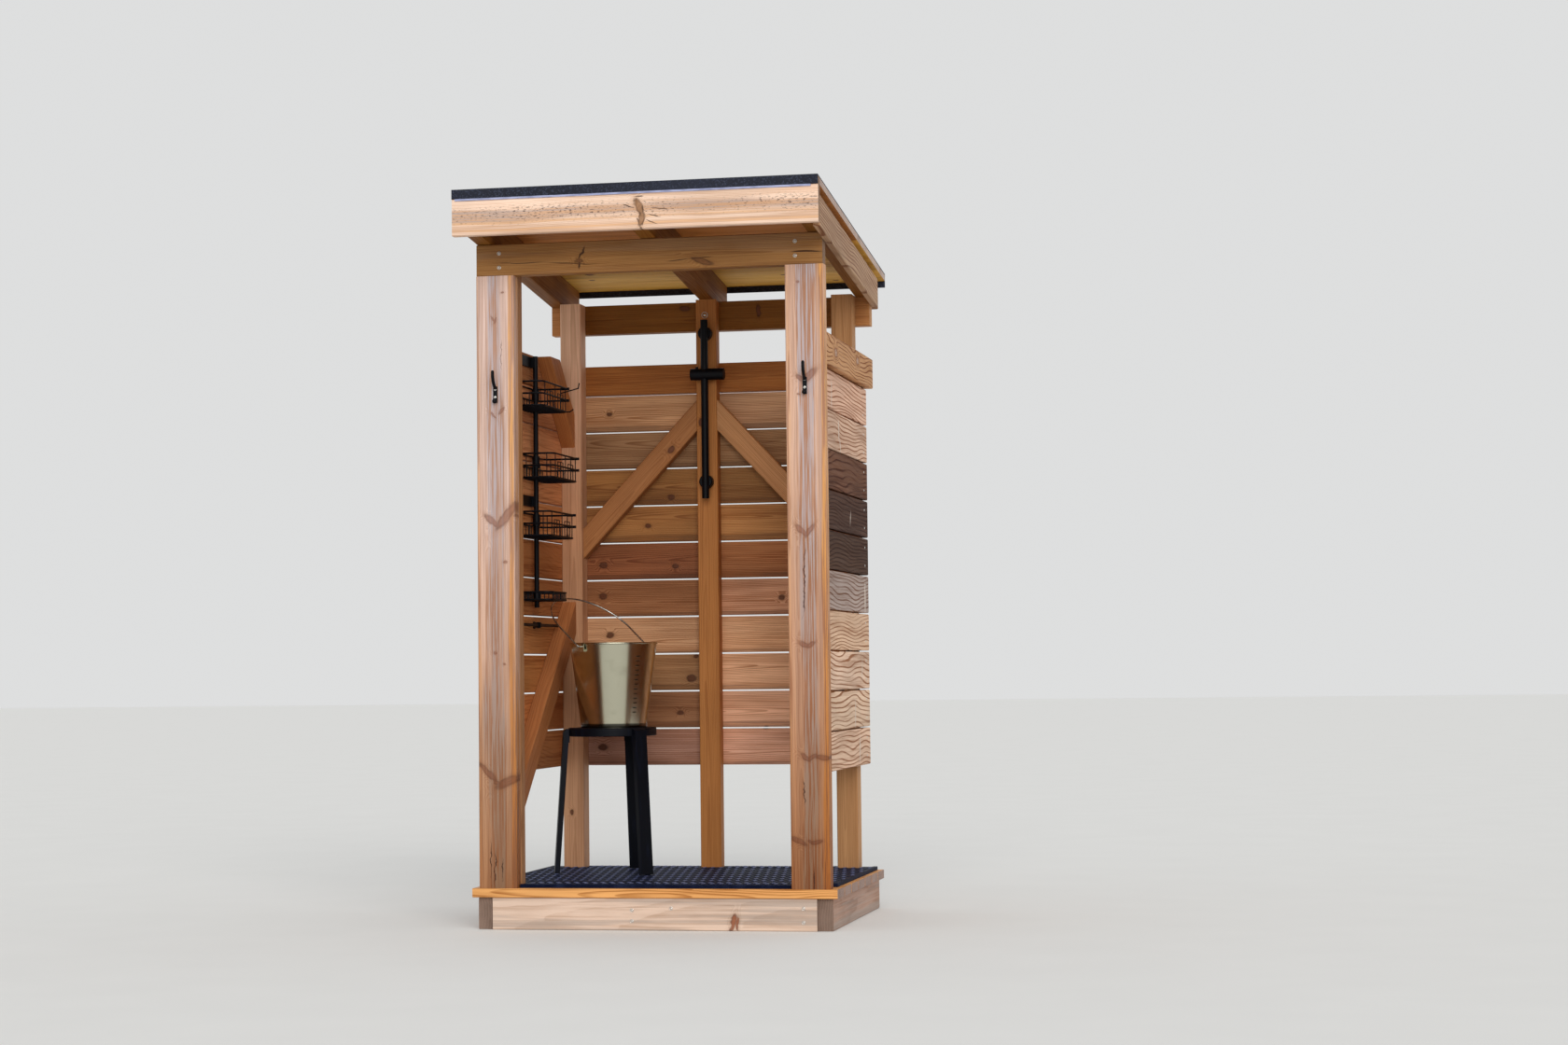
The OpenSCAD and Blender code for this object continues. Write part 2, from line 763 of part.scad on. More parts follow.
module bucket() {
    ear_w = 22;
    color("silver") placed() translate([bucket_x, stool_y, seat_top]) {
        rotate_extrude($fn = 96) {
            polygon([[0, 4], [bucket_r(0) - bucket_t, 4], [bucket_r(0) - bucket_t, 0], [bucket_r(0), 0],
                     [bucket_r(bucket_h), bucket_h], [bucket_r(bucket_h) - bucket_t, bucket_h],
                     [bucket_r(5) - bucket_t, 4 + bucket_t], [0, 4 + bucket_t]]);
            translate([bucket_r(bucket_h), bucket_h - 3]) circle(d = 6, $fn = 24);
        }
        for (i = [0, 1]) rotate([0, 0, ear_angle + 180 * i]) difference() {
            // Ear plate on a foot that is riveted to the wall
            union() {
                block([ear_r - 0.5, -ear_w / 2, bucket_h - ear_drop - 16], [ear_r + ear_t, ear_w / 2, bucket_h - 4]);
                block([bucket_r(bucket_h - ear_drop - 16) - 0.5, -ear_w / 2, bucket_h - ear_drop - 16],
                      [ear_r + ear_t, ear_w / 2, bucket_h - ear_drop - 9]);
            }
            translate([0, 0, bucket_h - ear_drop]) rotate([0, 90, 0])
                cylinder(d = bail_d + 2 * pin_clearance, h = reach);
        }
    }
}

// Wire bail with straight legs, a half round top and ends that curl into the ears
module bucket_bail() {
    curl_r = 10;
    curl_x = ear_r + ear_t + bail_d / 2 + 1;
    arch_r = curl_x + curl_r;
    leg_l = bail_reach - arch_r;
    pin_end = ear_r - 2;
    color("silver") placed() translate([bucket_x, stool_y, ear_z]) rotate([0, 0, ear_angle])
        rotate([180 - bail_angle, 0, 0]) {
            translate([0, leg_l, 0]) rotate_extrude(angle = 180, $fn = 96)
                translate([arch_r, 0]) circle(d = bail_d, $fn = 24);
            for (side = [0, 1]) mirror([side, 0, 0]) {
                translate([arch_r, curl_r, 0]) rotate([-90, 0, 0]) cylinder(d = bail_d, h = leg_l - curl_r);
                translate([curl_x, curl_r, 0]) rotate([0, 0, -90]) rotate_extrude(angle = 90, $fn = 48)
                    translate([curl_r, 0]) circle(d = bail_d, $fn = 24);
                translate([pin_end, 0, 0]) rotate([0, 90, 0]) cylinder(d = bail_d, h = curl_x - pin_end);
            }
        }
}

base_front_joist();
base_rear_joist();
base_side_joists();
base_inner_joists();
floor_boards();
front_left_plank();
front_right_plank();
front_left_stud();
front_right_stud();
header_beam();
rear_left_post();
rear_right_post();
rear_middle_post();
rear_top_rail();
left_wall_boards();
right_wall_boards();
rear_wall_boards();
left_wall_rail();
right_wall_rail();
rear_wall_rail();
left_wall_braces();
right_wall_braces();
rear_wall_braces();
left_rafter();
right_rafter();
middle_rafter();
roof_boards();
roof_felt();
front_felt_strip();
eave_felt_strip();
front_fascia();
right_barge_board();
rubber_mat();
shower_rail();
rail_brackets();
rail_holder();
coat_hooks();
caddy_pole();
top_basket();
middle_basket();
bottom_basket();
caddy_rack();
towel_bar();
stool_seat();
stool_legs();
bucket();
bucket_bail();
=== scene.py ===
import math

import bmesh
import bpy
from mathutils import Matrix, Vector


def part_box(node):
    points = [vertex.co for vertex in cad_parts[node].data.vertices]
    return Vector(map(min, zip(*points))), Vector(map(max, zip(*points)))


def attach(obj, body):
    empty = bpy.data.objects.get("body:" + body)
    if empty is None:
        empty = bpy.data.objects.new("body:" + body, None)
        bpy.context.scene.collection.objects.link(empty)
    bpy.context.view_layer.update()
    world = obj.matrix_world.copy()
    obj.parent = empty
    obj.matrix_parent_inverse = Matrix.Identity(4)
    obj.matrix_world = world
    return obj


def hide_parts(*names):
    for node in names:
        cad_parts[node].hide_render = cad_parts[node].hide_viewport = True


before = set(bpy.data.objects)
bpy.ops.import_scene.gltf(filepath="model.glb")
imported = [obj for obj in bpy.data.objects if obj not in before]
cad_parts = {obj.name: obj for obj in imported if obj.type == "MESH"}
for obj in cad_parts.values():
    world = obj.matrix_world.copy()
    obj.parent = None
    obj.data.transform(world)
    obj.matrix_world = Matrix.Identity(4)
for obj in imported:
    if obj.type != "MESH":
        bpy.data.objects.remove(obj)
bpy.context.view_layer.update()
scene = bpy.context.scene

# The view. The stall is seen from in front and a little to its right, at the height of a person's waist.
# The camera's place and lens were fitted to the straight edges of the timber.
camera_data = bpy.data.cameras.new("view")
camera_data.lens = 66.26
camera_data.sensor_width = 36.0
camera_data.clip_end = 200.0
camera = bpy.data.objects.new("view", camera_data)
scene.collection.objects.link(camera)
camera.matrix_world = Matrix(((0.98092, 0.02075, 0.19330, 2.114),
                              (0.19409, -0.04747, -0.97984, -9.0265),
                              (-0.01116, 0.99866, -0.05059, 0.792),
                              (0, 0, 0, 1)))
scene.camera = camera

# The studio. A pale floor lies under a pale sky, and one very broad soft lamp shines in at the open front.
# Together they light the timber at a plain level, and the sky shows as a pale background.
scene.view_settings.view_transform = "Standard"


def paint(code):
    """Colour of a screen code such as #b89788, as the shaders take it"""
    parts = [int(code[i:i + 2], 16) / 255 for i in (1, 3, 5)]
    return tuple(p / 12.92 if p <= 0.04045 else ((p + 0.055) / 1.055) ** 2.4 for p in parts) + (1.0,)


class Socket:
    """An output that can be used in arithmetic, which adds the Math nodes that it needs"""

    def __init__(self, finish, output):
        self.finish, self.output = finish, output

    def calc(self, operation, *values):
        return self.finish.add("ShaderNodeMath", {"operation": operation}, dict(enumerate(values)))

    def __add__(self, other):
        return self.calc("ADD", self, other)

    def __sub__(self, other):
        return self.calc("SUBTRACT", self, other)

    def __rsub__(self, other):
        return self.calc("SUBTRACT", other, self)

    def __mul__(self, other):
        return self.calc("MULTIPLY", self, other)

    def __truediv__(self, other):
        return self.calc("DIVIDE", self, other)

    def __abs__(self):
        return self.calc("ABSOLUTE", self)

    __radd__, __rmul__ = __add__, __mul__

    def floor(self):
        return self.calc("FLOOR", self)

    def fract(self):
        return self.calc("FRACT", self)

    def least(self, other):
        return self.calc("MINIMUM", self, other)

    def root(self):
        return self.calc("SQRT", self)

    def wave(self):
        return self.calc("SINE", self)

    def step(self, low, high):
        """Smooth step from 0 to 1 as this goes from low to high, or from 1 to 0 where high is the smaller"""
        ends = {1: low, 2: high} if low < high else {1: high, 2: low, 3: 1.0, 4: 0.0}
        return self.finish.add("ShaderNodeMapRange", {"interpolation_type": "SMOOTHSTEP"}, {0: self, **ends})


class Finish:
    """The node tree of one finish, with the surface shader of the piece that wears it"""

    def __init__(self, name, **constants):
        self.material = bpy.data.materials.new(name)
        self.material.use_nodes = True
        self.tree = self.material.node_tree
        self.surface = self.tree.nodes["Principled BSDF"]
        for key, value in constants.items():
            self.surface.inputs[key.replace("_", " ")].default_value = value
        place = self.tree.nodes.new("ShaderNodeTexCoord")
        self.place = Socket(self, place.outputs["Object"])
        self.x, self.y, self.z = self.parts(self.place)

    def add(self, kind, settings=None, values=None, out=0):
        """Adds a node: its settings first, then the values or links of its sockets.
        The settings stops and fade give a colour ramp with hard or soft changes, as places and colours"""
        node = self.tree.nodes.new(kind)
        for key, value in (settings or {}).items():
            if key in ("stops", "fade"):
                ramp = node.color_ramp
                ramp.interpolation = "CONSTANT" if key == "stops" else "LINEAR"
                while len(ramp.elements) < len(value):
                    ramp.elements.new(1.0)
                for element, (at, colour) in zip(ramp.elements, value):
                    element.position = at
                    element.color = colour
            else:
                setattr(node, key, value)
        for key, value in (values or {}).items():
            if isinstance(value, Socket):
                self.tree.links.new(value.output, node.inputs[key])
            else:
                node.inputs[key].default_value = value
        return Socket(self, node.outputs[out])

    def vector(self, x, y, z):
        return self.add("ShaderNodeCombineXYZ", None, {0: x, 1: y, 2: z})

    def parts(self, vector):
        node = self.tree.nodes.new("ShaderNodeSeparateXYZ")
        self.tree.links.new(vector.output, node.inputs[0])
        return tuple(Socket(self, out) for out in node.outputs)

    def noise(self, vector, scale, detail=2.0, rough=0.5):
        return self.add("ShaderNodeTexNoise", None,
                        {"Vector": vector, "Scale": scale, "Detail": detail, "Roughness": rough})

    def blend(self, mask, one, other, how="MIX"):
        """Colour one where mask is 0 and colour other where it is 1"""
        return self.add("ShaderNodeMix", {"data_type": "RGBA", "blend_type": how, "clamp_factor": True},
                        {0: mask, 6: one, 7: other}, out=2)

    def tint(self, colour, shade):
        return self.blend(1.0, colour, shade, "MULTIPLY")

    def bump(self, height, distance):
        return self.add("ShaderNodeBump", None, {"Height": height, "Distance": distance})

    def set(self, **sockets):
        for key, value in sockets.items():
            self.tree.links.new(value.output, self.surface.inputs[key.replace("_", " ")])
        return self.material


FLOOR_REACH, FLOOR_DROP = 60.0, 0.0005
floor_finish = Finish("pale floor", Roughness=0.95, Specular_IOR_Level=0.1)
floor_finish.set(Base_Color=floor_finish.blend(floor_finish.noise(floor_finish.place, 3.0),
                                               paint("#e9e8e5"), paint("#edece9")))
floor_mesh = bpy.data.meshes.new("studio_floor")
floor_mesh.from_pydata([(x * FLOOR_REACH, y * FLOOR_REACH, -FLOOR_DROP)
                        for x, y in ((-1, -1), (1, -1), (1, 1), (-1, 1))], [], [(0, 1, 2, 3)])
floor_mesh.materials.append(floor_finish.material)
studio_floor = bpy.data.objects.new("studio_floor", floor_mesh)
scene.collection.objects.link(studio_floor)

# What the eye and the mirrors see of the sky has a colour of its own, apart from the light that it sheds
world = bpy.data.worlds.new("surround")
world.use_nodes = True
scene.world = world
nodes, links = world.node_tree.nodes, world.node_tree.links
light, seen = nodes["Background"], nodes.new("ShaderNodeBackground")
light.inputs["Color"].default_value = (0.96, 0.98, 1.0, 1)
light.inputs["Strength"].default_value = 0.62
seen.inputs["Color"].default_value = (0.73, 0.735, 0.735, 1)
rays, either = nodes.new("ShaderNodeLightPath"), nodes.new("ShaderNodeMath")
mix = nodes.new("ShaderNodeMixShader")
either.operation = "ADD"
either.use_clamp = True
for source, target in ((rays.outputs["Is Camera Ray"], either.inputs[0]),
                       (rays.outputs["Is Glossy Ray"], either.inputs[1]),
                       (either.outputs[0], mix.inputs[0]),
                       (light.outputs[0], mix.inputs[1]),
                       (seen.outputs[0], mix.inputs[2]),
                       (mix.outputs[0], nodes["World Output"].inputs["Surface"])):
    links.new(source, target)

SHINES_TOWARDS = Vector((-0.30, 0.86, -0.44))
soft_data = bpy.data.lights.new("soft_light", "SUN")
soft_data.energy = 1.7
soft_data.angle = math.radians(45)
soft_data.color = (1.0, 0.985, 0.96)
soft_light = bpy.data.objects.new("soft_light", soft_data)
soft_light.rotation_euler = SHINES_TOWARDS.to_track_quat("-Z", "Y").to_euler()
scene.collection.objects.link(soft_light)

# The base is a frame of sawn softwood joists on edge, which the floor boards are screwed down on.
# It stands on the ground, so its timber is raw, pinkish and stained grey by damp, with splits at the knots.
MM = 0.001


def nearest_oval(f, place, ovals):
    """Distance to the nearest of some ovals, which is 1 at their edge. Each has two ends and a width, in millimetres"""
    nearest = None
    for u0, v0, u1, v1, wide in ovals:
        size = ((math.hypot(u1 - u0, v1 - v0) + wide) / 2 * MM, wide / 2 * MM, 1.0)
        inside = f.add("ShaderNodeMapping", {"vector_type": "TEXTURE"}, {
            "Vector": place, "Location": ((u0 + u1) / 2 * MM, (v0 + v1) / 2 * MM, 0.0),
            "Rotation": (0, 0, math.atan2(v1 - v0, u1 - u0)), "Scale": size})
        reach = f.add("ShaderNodeVectorMath", {"operation": "LENGTH"}, {0: inside}, out=1)
        nearest = reach if nearest is None else nearest.least(reach)
    return nearest


def chance_knot(f, length, height, key, start, crooked, width, chance):
    """The same distance to small knots at random, at most one in each stretch of the board"""
    stretch, biggest, drawn_out, flattened = 0.34, 0.011, 0.27, 1.25
    cell = length / stretch + start * 9.0
    at = f.vector(cell.floor(), key * 1.7 + 5.0, 0.0)
    dice = f.add("ShaderNodeTexWhiteNoise", {"noise_dimensions": "2D"}, {"Vector": at}, out=1)
    along, across, other = f.parts(dice)
    size = (0.5 + 0.5 * other) * biggest
    off_along = (cell.fract() - 0.3 - 0.4 * along) * drawn_out + (crooked - 0.5) * 0.006
    off_across = (height - (across - 0.5) * width * 0.7) * flattened
    absent = (other * 7.0).fract().step(chance, chance + 0.01)
    return (off_along * off_along + off_across * off_across).root() / size + absent * 50.0


def wood(name, along, across, deep, board, tones, seed=0.0, count=1, width=0.12,
         line=(0.62, 0.50, 0.40), contrast=0.5, ring=0.0045, cut=0.02, tilt=0.03, figure=None,
         grain=0.6, streak=16.0, streaks=0.6, vary=0.12, blotch=0.55, bands=(), specks=None,
         grey=None, weather=0.4, low=None, inner=None, run=None, end=("#8a6a50", "#4f3526"),
         face=None, spots=(), spot_tone="#7a4630", spot_rim="#2a130a", spot_share=0.85, chance=0.0,
         scars=(), pale_spots=(), relief=0.0006, rough=(0.5, 0.75), shine=0.22):
    """Softwood board. along, across and deep are its own coordinates, and board is its number, from 0 to count - 1.
    Its rings are those of a log (ring, cut, tilt), or a wavy figure (stretch, squeeze, lines). spots are knots that
    face places, and scars are splits. inner dresses its other side, by tones, contrast and maybe other tones on the
    right, which paint light falling there. low tints it by height over the ground, and run is the axis that its sawn
    ends face"""

    def tone_of(codes):
        ramp = [paint(code) for code in codes]
        if len(ramp) == 1:
            return ramp[0]
        return f.add("ShaderNodeValToRGB", {"stops": [(i / count, tone) for i, tone in enumerate(ramp)]},
                     {0: (number + 0.5) / count})

    f = Finish(name, Specular_IOR_Level=shine)
    L, A, B, number = along(f), across(f), deep(f), board(f)
    key = number + seed
    dice = f.add("ShaderNodeTexWhiteNoise", {"noise_dimensions": "1D"}, {"W": key + 0.37}, out=1)
    one, two, three = f.parts(dice)

    # Noise: slow wandering, ripples, patches of colour, crooked edges, and strands and runs drawn out along the grain
    wander = f.noise(f.vector(L * 1.3 + key * 7.3, A * 2.5, B * 2.5), 1.0, 2.0)
    ripple = f.noise(f.vector(L * 6.0 + key * 3.1, A * 16.0, B * 16.0), 1.0, 2.0)
    patch = f.noise(f.vector(L * 2.2 + key, A * 7.0, B * 7.0), 1.0, 3.0, 0.55)
    crooked = f.noise(f.vector(L * 45.0, A * 45.0, key), 1.0, 2.0)
    strands = f.noise(f.vector(L * 3.5 + key, A * 170.0, B * 170.0), 1.0, 3.0, 0.65).step(0.28, 0.72)
    runs = f.noise(f.vector(L * 0.9 + key * 2.0, A * streak, B * streak), 1.0, 3.0, 0.6).step(0.26, 0.74)

    # Distance to the nearest knot, which is 1 at its edge
    at_u, at_v = face(f) if face else (L, A)
    wobble = f.vector(at_u + (crooked - 0.5) * 0.018, at_v + (ripple - 0.5) * 0.016, 0.0)
    far = nearest_oval(f, wobble, spots)
    if chance:
        lone = chance_knot(f, L, A, key, one, crooked, width, chance)
        far = lone if far is None else far.least(lone)

    # Growth rings, which bend round the knots. late is 1 in the dark late wood of each ring
    if figure:
        stretch, squeeze, lines = figure
        field = f.noise(f.vector(L * stretch + key * 5.3, A * squeeze, B * 3.0 + key), 1.0, 1.0, 0.4)
        phase = field * lines + A * 75.0 + (ripple - 0.5) * 0.4
    else:
        a = A + (one - 0.5) * width * 0.5 + (wander - 0.5) * 0.04
        b = B + cut + (three - 0.5) * tilt * L * 1.6 + (ripple - 0.5) * 0.006
        phase = (a * a + b * b).root() / ring
    if far:
        phase = phase + far.step(3.2, 0.8) * 2.4
    turn = phase.fract()
    if figure:
        late = turn.step(0.58, 0.88) * turn.step(1.0, 0.92) * (0.3 + patch.step(0.30, 0.60) * 0.7)
    else:
        late = turn.step(0.30, 0.90) * turn.step(1.0, 0.93)

    # Tone of the board, lighter between the rings and darker in them
    colour, strength, outside = tone_of(tones), contrast, 1.0
    if inner:
        inner_tones, inner_contrast, *lit_right_tones = inner
        inside = tone_of(inner_tones)
        if lit_right_tones:
            inside = f.blend(f.x.step(-0.03, 0.03), inside, tone_of(lit_right_tones[0]))
        outside = B.step(-0.002, 0.002)
        colour = f.blend(outside, inside, colour)
        strength = outside * (contrast - inner_contrast) + inner_contrast
    shade = 1.0 + (two - 0.5) * vary + (patch - 0.5) * blotch
    colour = f.tint(colour, f.vector(shade, shade, shade))
    darker, lighter = f.tint(colour, line + (1,)), f.tint(colour, (1.16, 1.18, 1.22, 1))
    amount = late * strength * (0.6 + wander * 0.8) + (strands - 0.5) * grain + (runs - 0.5) * streaks
    colour = f.blend(amount + 0.12, lighter, darker)
    if grey:
        worn = (runs * 0.5 + patch * 0.5).step(0.62 - weather * 0.3, 0.80 - weather * 0.25)
        colour = f.blend(worn * weather, colour, paint(grey))

    # Bands lengthwise: the middle of each, its half width, colour, strength, and how far it wanders
    for middle, half, tone, share, sway in bands:
        off = abs(A - middle + (wander - 0.5) * sway)
        ragged = off / half + (runs - 0.5) * 1.1 + (patch - 0.5) * 1.6
        streaky = f.blend(strands.step(0.35, 0.7), paint(tone), darker)
        colour = f.blend(ragged.step(1.1, 0.45) * share, colour, streaky)
    if specks:
        middle, half, tone = specks
        dots = f.noise(f.vector(L * 90.0, A * 260.0, B), 1.0, 2.0, 0.6)
        near_middle = (abs(A - middle + (wander - 0.5) * 0.03) / half).step(1.2, 0.2)
        colour = f.blend((dots + patch * 0.35 - 0.17).step(0.56, 0.66) * near_middle * 0.8, colour, paint(tone))
    for ovals, tone, share in ((pale_spots, "#d9c9bb", 0.75), (scars, spot_rim, 0.85)):
        if ovals:
            colour = f.blend(nearest_oval(f, wobble, ovals).step(1.25, 0.6) * (outside * share), colour, paint(tone))

    # A knot has a swirled heart, a broken dark rim and darker grain round it, and stands a little proud
    height = late * 0.5 + strands * 0.35
    if far:
        swirl = (far * 9.0 + crooked * 5.0).wave() * 0.5 + 0.5
        heart = f.blend(swirl * 0.35 + far.step(0.8, 0.0) * 0.3, paint(spot_tone), paint(spot_rim))
        rim = far.step(0.60, 0.95) * far.step(1.40, 1.0)
        colour = f.blend(far.step(2.3, 0.9) * 0.40, colour, darker)
        colour = f.blend(far.step(1.10, 0.75) * spot_share, colour, heart)
        colour = f.blend(rim * 1.3 * crooked * spot_share, colour, paint(spot_rim))
        height = height + far.step(1.1, 0.8) * 0.3 - rim * 0.5
    if low:
        tallest = 2.2
        fade = [(at / tallest, tone + (1,)) for at, tone in low]
        colour = f.tint(colour, f.add("ShaderNodeValToRGB", {"fade": fade}, {0: f.z / tallest}))

    # Sawn ends take up dirt and show the rings face on
    if run:
        normal = f.add("ShaderNodeNewGeometry", out=1)
        facing = f.add("ShaderNodeVectorMath", {"operation": "DOT_PRODUCT"}, {0: normal, 1: run}, out=1)
        rings = (late * 0.6 + (patch - 0.5) * 1.4 + (ripple - 0.5)).step(0.0, 1.0)
        colour = f.blend(abs(facing).step(0.75, 0.9), colour, f.blend(rings, paint(end[0]), paint(end[1])))
    gloss = rough[0] + (rough[1] - rough[0]) * (late * 0.3 + strands * 0.5)
    return f.set(Base_Color=colour, Roughness=gloss, Normal=f.bump(height, relief))


def dress(material, *names):
    """Gives a finish to whole CAD pieces"""
    for name in names:
        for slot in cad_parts[name].material_slots:
            slot.material = material


JOIST = dict(tones=["#cdb29d"], grey="#a89a90", weather=0.6, contrast=0.3, streak=30.0,
             end=("#8a7264", "#5b4639"), relief=0.0008)
dress(wood("joist lengthwise", lambda f: f.x, lambda f: f.z - 0.049, lambda f: f.y, lambda f: (f.y + 1.0).floor(),
           face=lambda f: (f.x, f.z), spots=[(254, 40, 244, 6, 13), (262, 34, 262, 10, 9)],
           spot_tone="#a05a36", spot_rim="#5b2c1a", run=(1, 0, 0), **JOIST), "base_front_joist", "base_rear_joist")
dress(wood("joist crosswise", lambda f: f.y, lambda f: f.z - 0.049, lambda f: f.x, lambda f: (f.x * 8.0).floor(),
           run=(0, 1, 0), **dict(JOIST, tones=["#a98672"])), "base_side_joists", "base_inner_joists")

# The floor is seven planed boards that lie across the joists, with narrow gaps for the water to drain.
# They are oiled a warm orange, and their sawn ends at the sides have gone grey brown.
BOARD_GAP = 0.005
BOARD_MIDDLE = 0.48  # share of the pitch from a board's first edge to its middle
floor_low, floor_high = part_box("floor_boards")
floor_pitch = (floor_high.y - floor_low.y + BOARD_GAP) / 7


def floor_number(f):
    return ((f.y - floor_low.y) / floor_pitch).floor()


dress(wood("floor board", lambda f: f.x,
           lambda f: f.y - floor_low.y - (floor_number(f) + BOARD_MIDDLE) * floor_pitch,
           lambda f: f.z - 0.112, floor_number, tones=["#d69a5a"], line=(0.60, 0.46, 0.30), contrast=0.75,
           ring=0.0035, cut=0.006, tilt=0.05, run=(1, 0, 0), end=("#a08274", "#664a3f"), relief=0.0004,
           rough=(0.42, 0.6)), "floor_boards")

# The front planks frame the entrance. Each was sawn through the heart of a thin log, so a greyish pith streak
# wavers down its middle, and its branches show as pairs of spike knots that run out and up from there.
# The foot of each plank has kept its orange brown, and higher up the rain has left it pale.
DECK = 126  # height of the deck over the ground, in millimetres like the marks
FRONT_DEPTH = 0.4135  # from the middle of the stall to the middle of the front timber
PLANK = dict(line=(0.62, 0.46, 0.36), contrast=0.30, ring=0.0035, cut=0.004, tilt=0.0, grain=0.45, streak=60.0,
             streaks=0.55, vary=0.0, grey="#b9a198", weather=0.30, relief=0.0007,
             spot_share=0.5, spot_tone="#9c6350", spot_rim="#3f1c14",
             bands=[(0.0, 0.034, "#b6aaae", 0.85, 0.05), (-0.055, 0.007, "#e0b088", 0.7, 0.02),
                    (0.052, 0.011, "#e0a057", 0.85, 0.03)],
             low=[(0.13, (0.47, 0.30, 0.155)), (0.45, (0.61, 0.46, 0.31)), (0.95, (0.84, 0.75, 0.66)),
                  (1.45, (0.98, 0.98, 0.98))])


def on_front(marks):
    """Ovals of the front or the rear as they lie in the frame. They are given from the middle and up from the deck"""
    return [(x0, z0 + DECK, x1, z1 + DECK, wide) for x0, z0, x1, z1, wide in marks]


def plank(name, middle, spots, scars, pale, seed):
    return wood(name, lambda f: f.z, lambda f: f.x - middle, lambda f: f.y + FRONT_DEPTH, lambda f: 0.0,
                tones=[pale], seed=seed, face=lambda f: (f.x, f.z), spots=on_front(spots), scars=on_front(scars),
                **PLANK)


left_plank = plank("front left plank", -0.49, [
    (-465, 1843, -462, 1843, 5), (-500, 1768, -493, 1752, 6), (-485, 1764, -492, 1752, 6),
    (-503, 1468, -491, 1456, 7), (-474, 1468, -464, 1480, 7), (-488, 1120, -516, 1147, 15),
    (-478, 1120, -430, 1180, 22), (-430, 1150, -424, 1154, 8), (-463, 1006, -462, 1006, 8),
    (-499, 725, -495, 725, 8), (-467, 693, -466, 693, 6), (-540, 380, -498, 334, 16),
    (-480, 318, -430, 340, 24), (-494, 327, -489, 327, 10)],
    [(-500, 0, -498, 110, 4), (-476, 20, -475, 90, 3), (-512, 30, -512, 150, 3), (-470, 1700, -470, 1600, 2)],
    "#d6b8a8", 1.0)
right_plank = plank("front right plank", 0.49, [
    (468, 1844, 469, 1844, 6), (470, 1556, 484, 1547, 14), (490, 1546, 514, 1569, 20), (467, 1504, 468, 1504, 5),
    (484, 1072, 462, 1096, 14), (490, 1072, 506, 1095, 15), (484, 738, 468, 744, 13), (490, 735, 504, 742, 12),
    (486, 389, 470, 402, 13), (491, 390, 506, 402, 12), (516, 397, 548, 396, 14), (470, 136, 438, 154, 14),
    (488, 144, 490, 144, 8), (498, 140, 520, 146, 12)],
    [(483, 1040, 477, 818, 4), (480, 900, 479, 840, 6), (470, 330, 474, 250, 3), (500, 60, 500, 0, 4)],
    "#cfa78d", 2.0)
dress(left_plank, "front_left_plank")
dress(right_plank, "front_right_plank")

# Behind each plank stands a square stud of planed softwood, which the side boards are screwed to.
# It is sheltered by the plank, and so less weathered than that.
POST_X, STUD_Y = 0.465, 0.3655


def right_side(f):
    """Board number 0 for the piece on the left, and 1 for the one on the right"""
    return f.x.step(-0.01, 0.01)


dress(wood("front stud", lambda f: f.z, lambda f: abs(f.x) - POST_X, lambda f: f.y + STUD_Y, right_side,
           tones=["#ab784c"], seed=11.0, width=0.07, grey="#a98a72", weather=0.3, run=(0, 0, 1), chance=0.3),
      "front_left_stud", "front_right_stud")

# The header is a planed beam that lies on the planks and is fixed to each with two screws and washers.
# It is orange brown, with fine drying cracks along it and a few dark knots.
HEADER_CRACKS = [(-477, 1938, -320, 1934, 3), (-320, 1933, -160, 1924, 3), (60, 1923, 130, 1927, 3),
                 (130, 1927, 205, 1931, 3), (455, 1937, 546, 1935, 5), (-200, 1976, -219, 1942, 7),
                 (-219, 1938, -216, 1912, 6)]
dress(wood("header", lambda f: f.x, lambda f: f.z - 2.0725, lambda f: f.y + FRONT_DEPTH, lambda f: 0.0,
           tones=["#956838"], seed=4.0, width=0.098, contrast=0.45, cut=0.03, tilt=0.02, grey="#9d8064",
           weather=0.25, run=(1, 0, 0), face=lambda f: (f.x, f.z), spot_tone="#86562f",
           spots=on_front([(152, 1925, 196, 1912, 14), (-226, 1936, -212, 1936, 10)]),
           scars=on_front(HEADER_CRACKS)), "header_beam")

# Square posts stand at the rear corners, with a flatter one between them that carries the shower rail.
# The top rail is screwed across their backs and carries the rafters. Its ends, outside the walls, are painted paler, as
# painted light.
POST = dict(width=0.07, run=(0, 0, 1), relief=0.0004, streak=30.0, streaks=0.4, grain=0.3, contrast=0.35,
            chance=0.25)


def post(name, middle, depth, tone, seed, **looks):
    return wood(name, lambda f: f.z, lambda f: f.x - middle, lambda f: f.y - depth, lambda f: 0.0, tones=[tone],
                seed=seed, **looks, **POST)


# The rear left post is painted light on its upper part: its tone is pale, and it is darkened below about 1.3 m.
dress(post("rear left post", -POST_X, 0.388, "#e2b593", 21.0,
           low=[(1.30, (0.66, 0.56, 0.46)), (1.85, (1.0, 1.0, 1.0))]), "rear_left_post")
dress(post("rear right post", POST_X, 0.388, "#b28255", 22.0), "rear_right_post")
dress(post("middle post", 0.0, 0.4, "#ad7039", 31.0), "rear_middle_post")
RAIL = dict(width=0.098, contrast=0.45, cut=0.012, tilt=0.02)
RAIL_DEPTH = 0.4475
dress(wood("rear top rail", lambda f: f.x, lambda f: f.z - 1.98, lambda f: f.y - RAIL_DEPTH,
           lambda f: abs(f.x).step(0.495, 0.496), tones=["#86541c", "#b57c48"], count=2, seed=33.0,
           face=lambda f: (f.x, f.z), spots=on_front([(-92, 1884, -76, 1884, 16), (170, 1880, 172, 1858, 12)]),
           run=(1, 0, 0), end=("#c08a58", "#8c5a32"), **RAIL), "rear_top_rail")
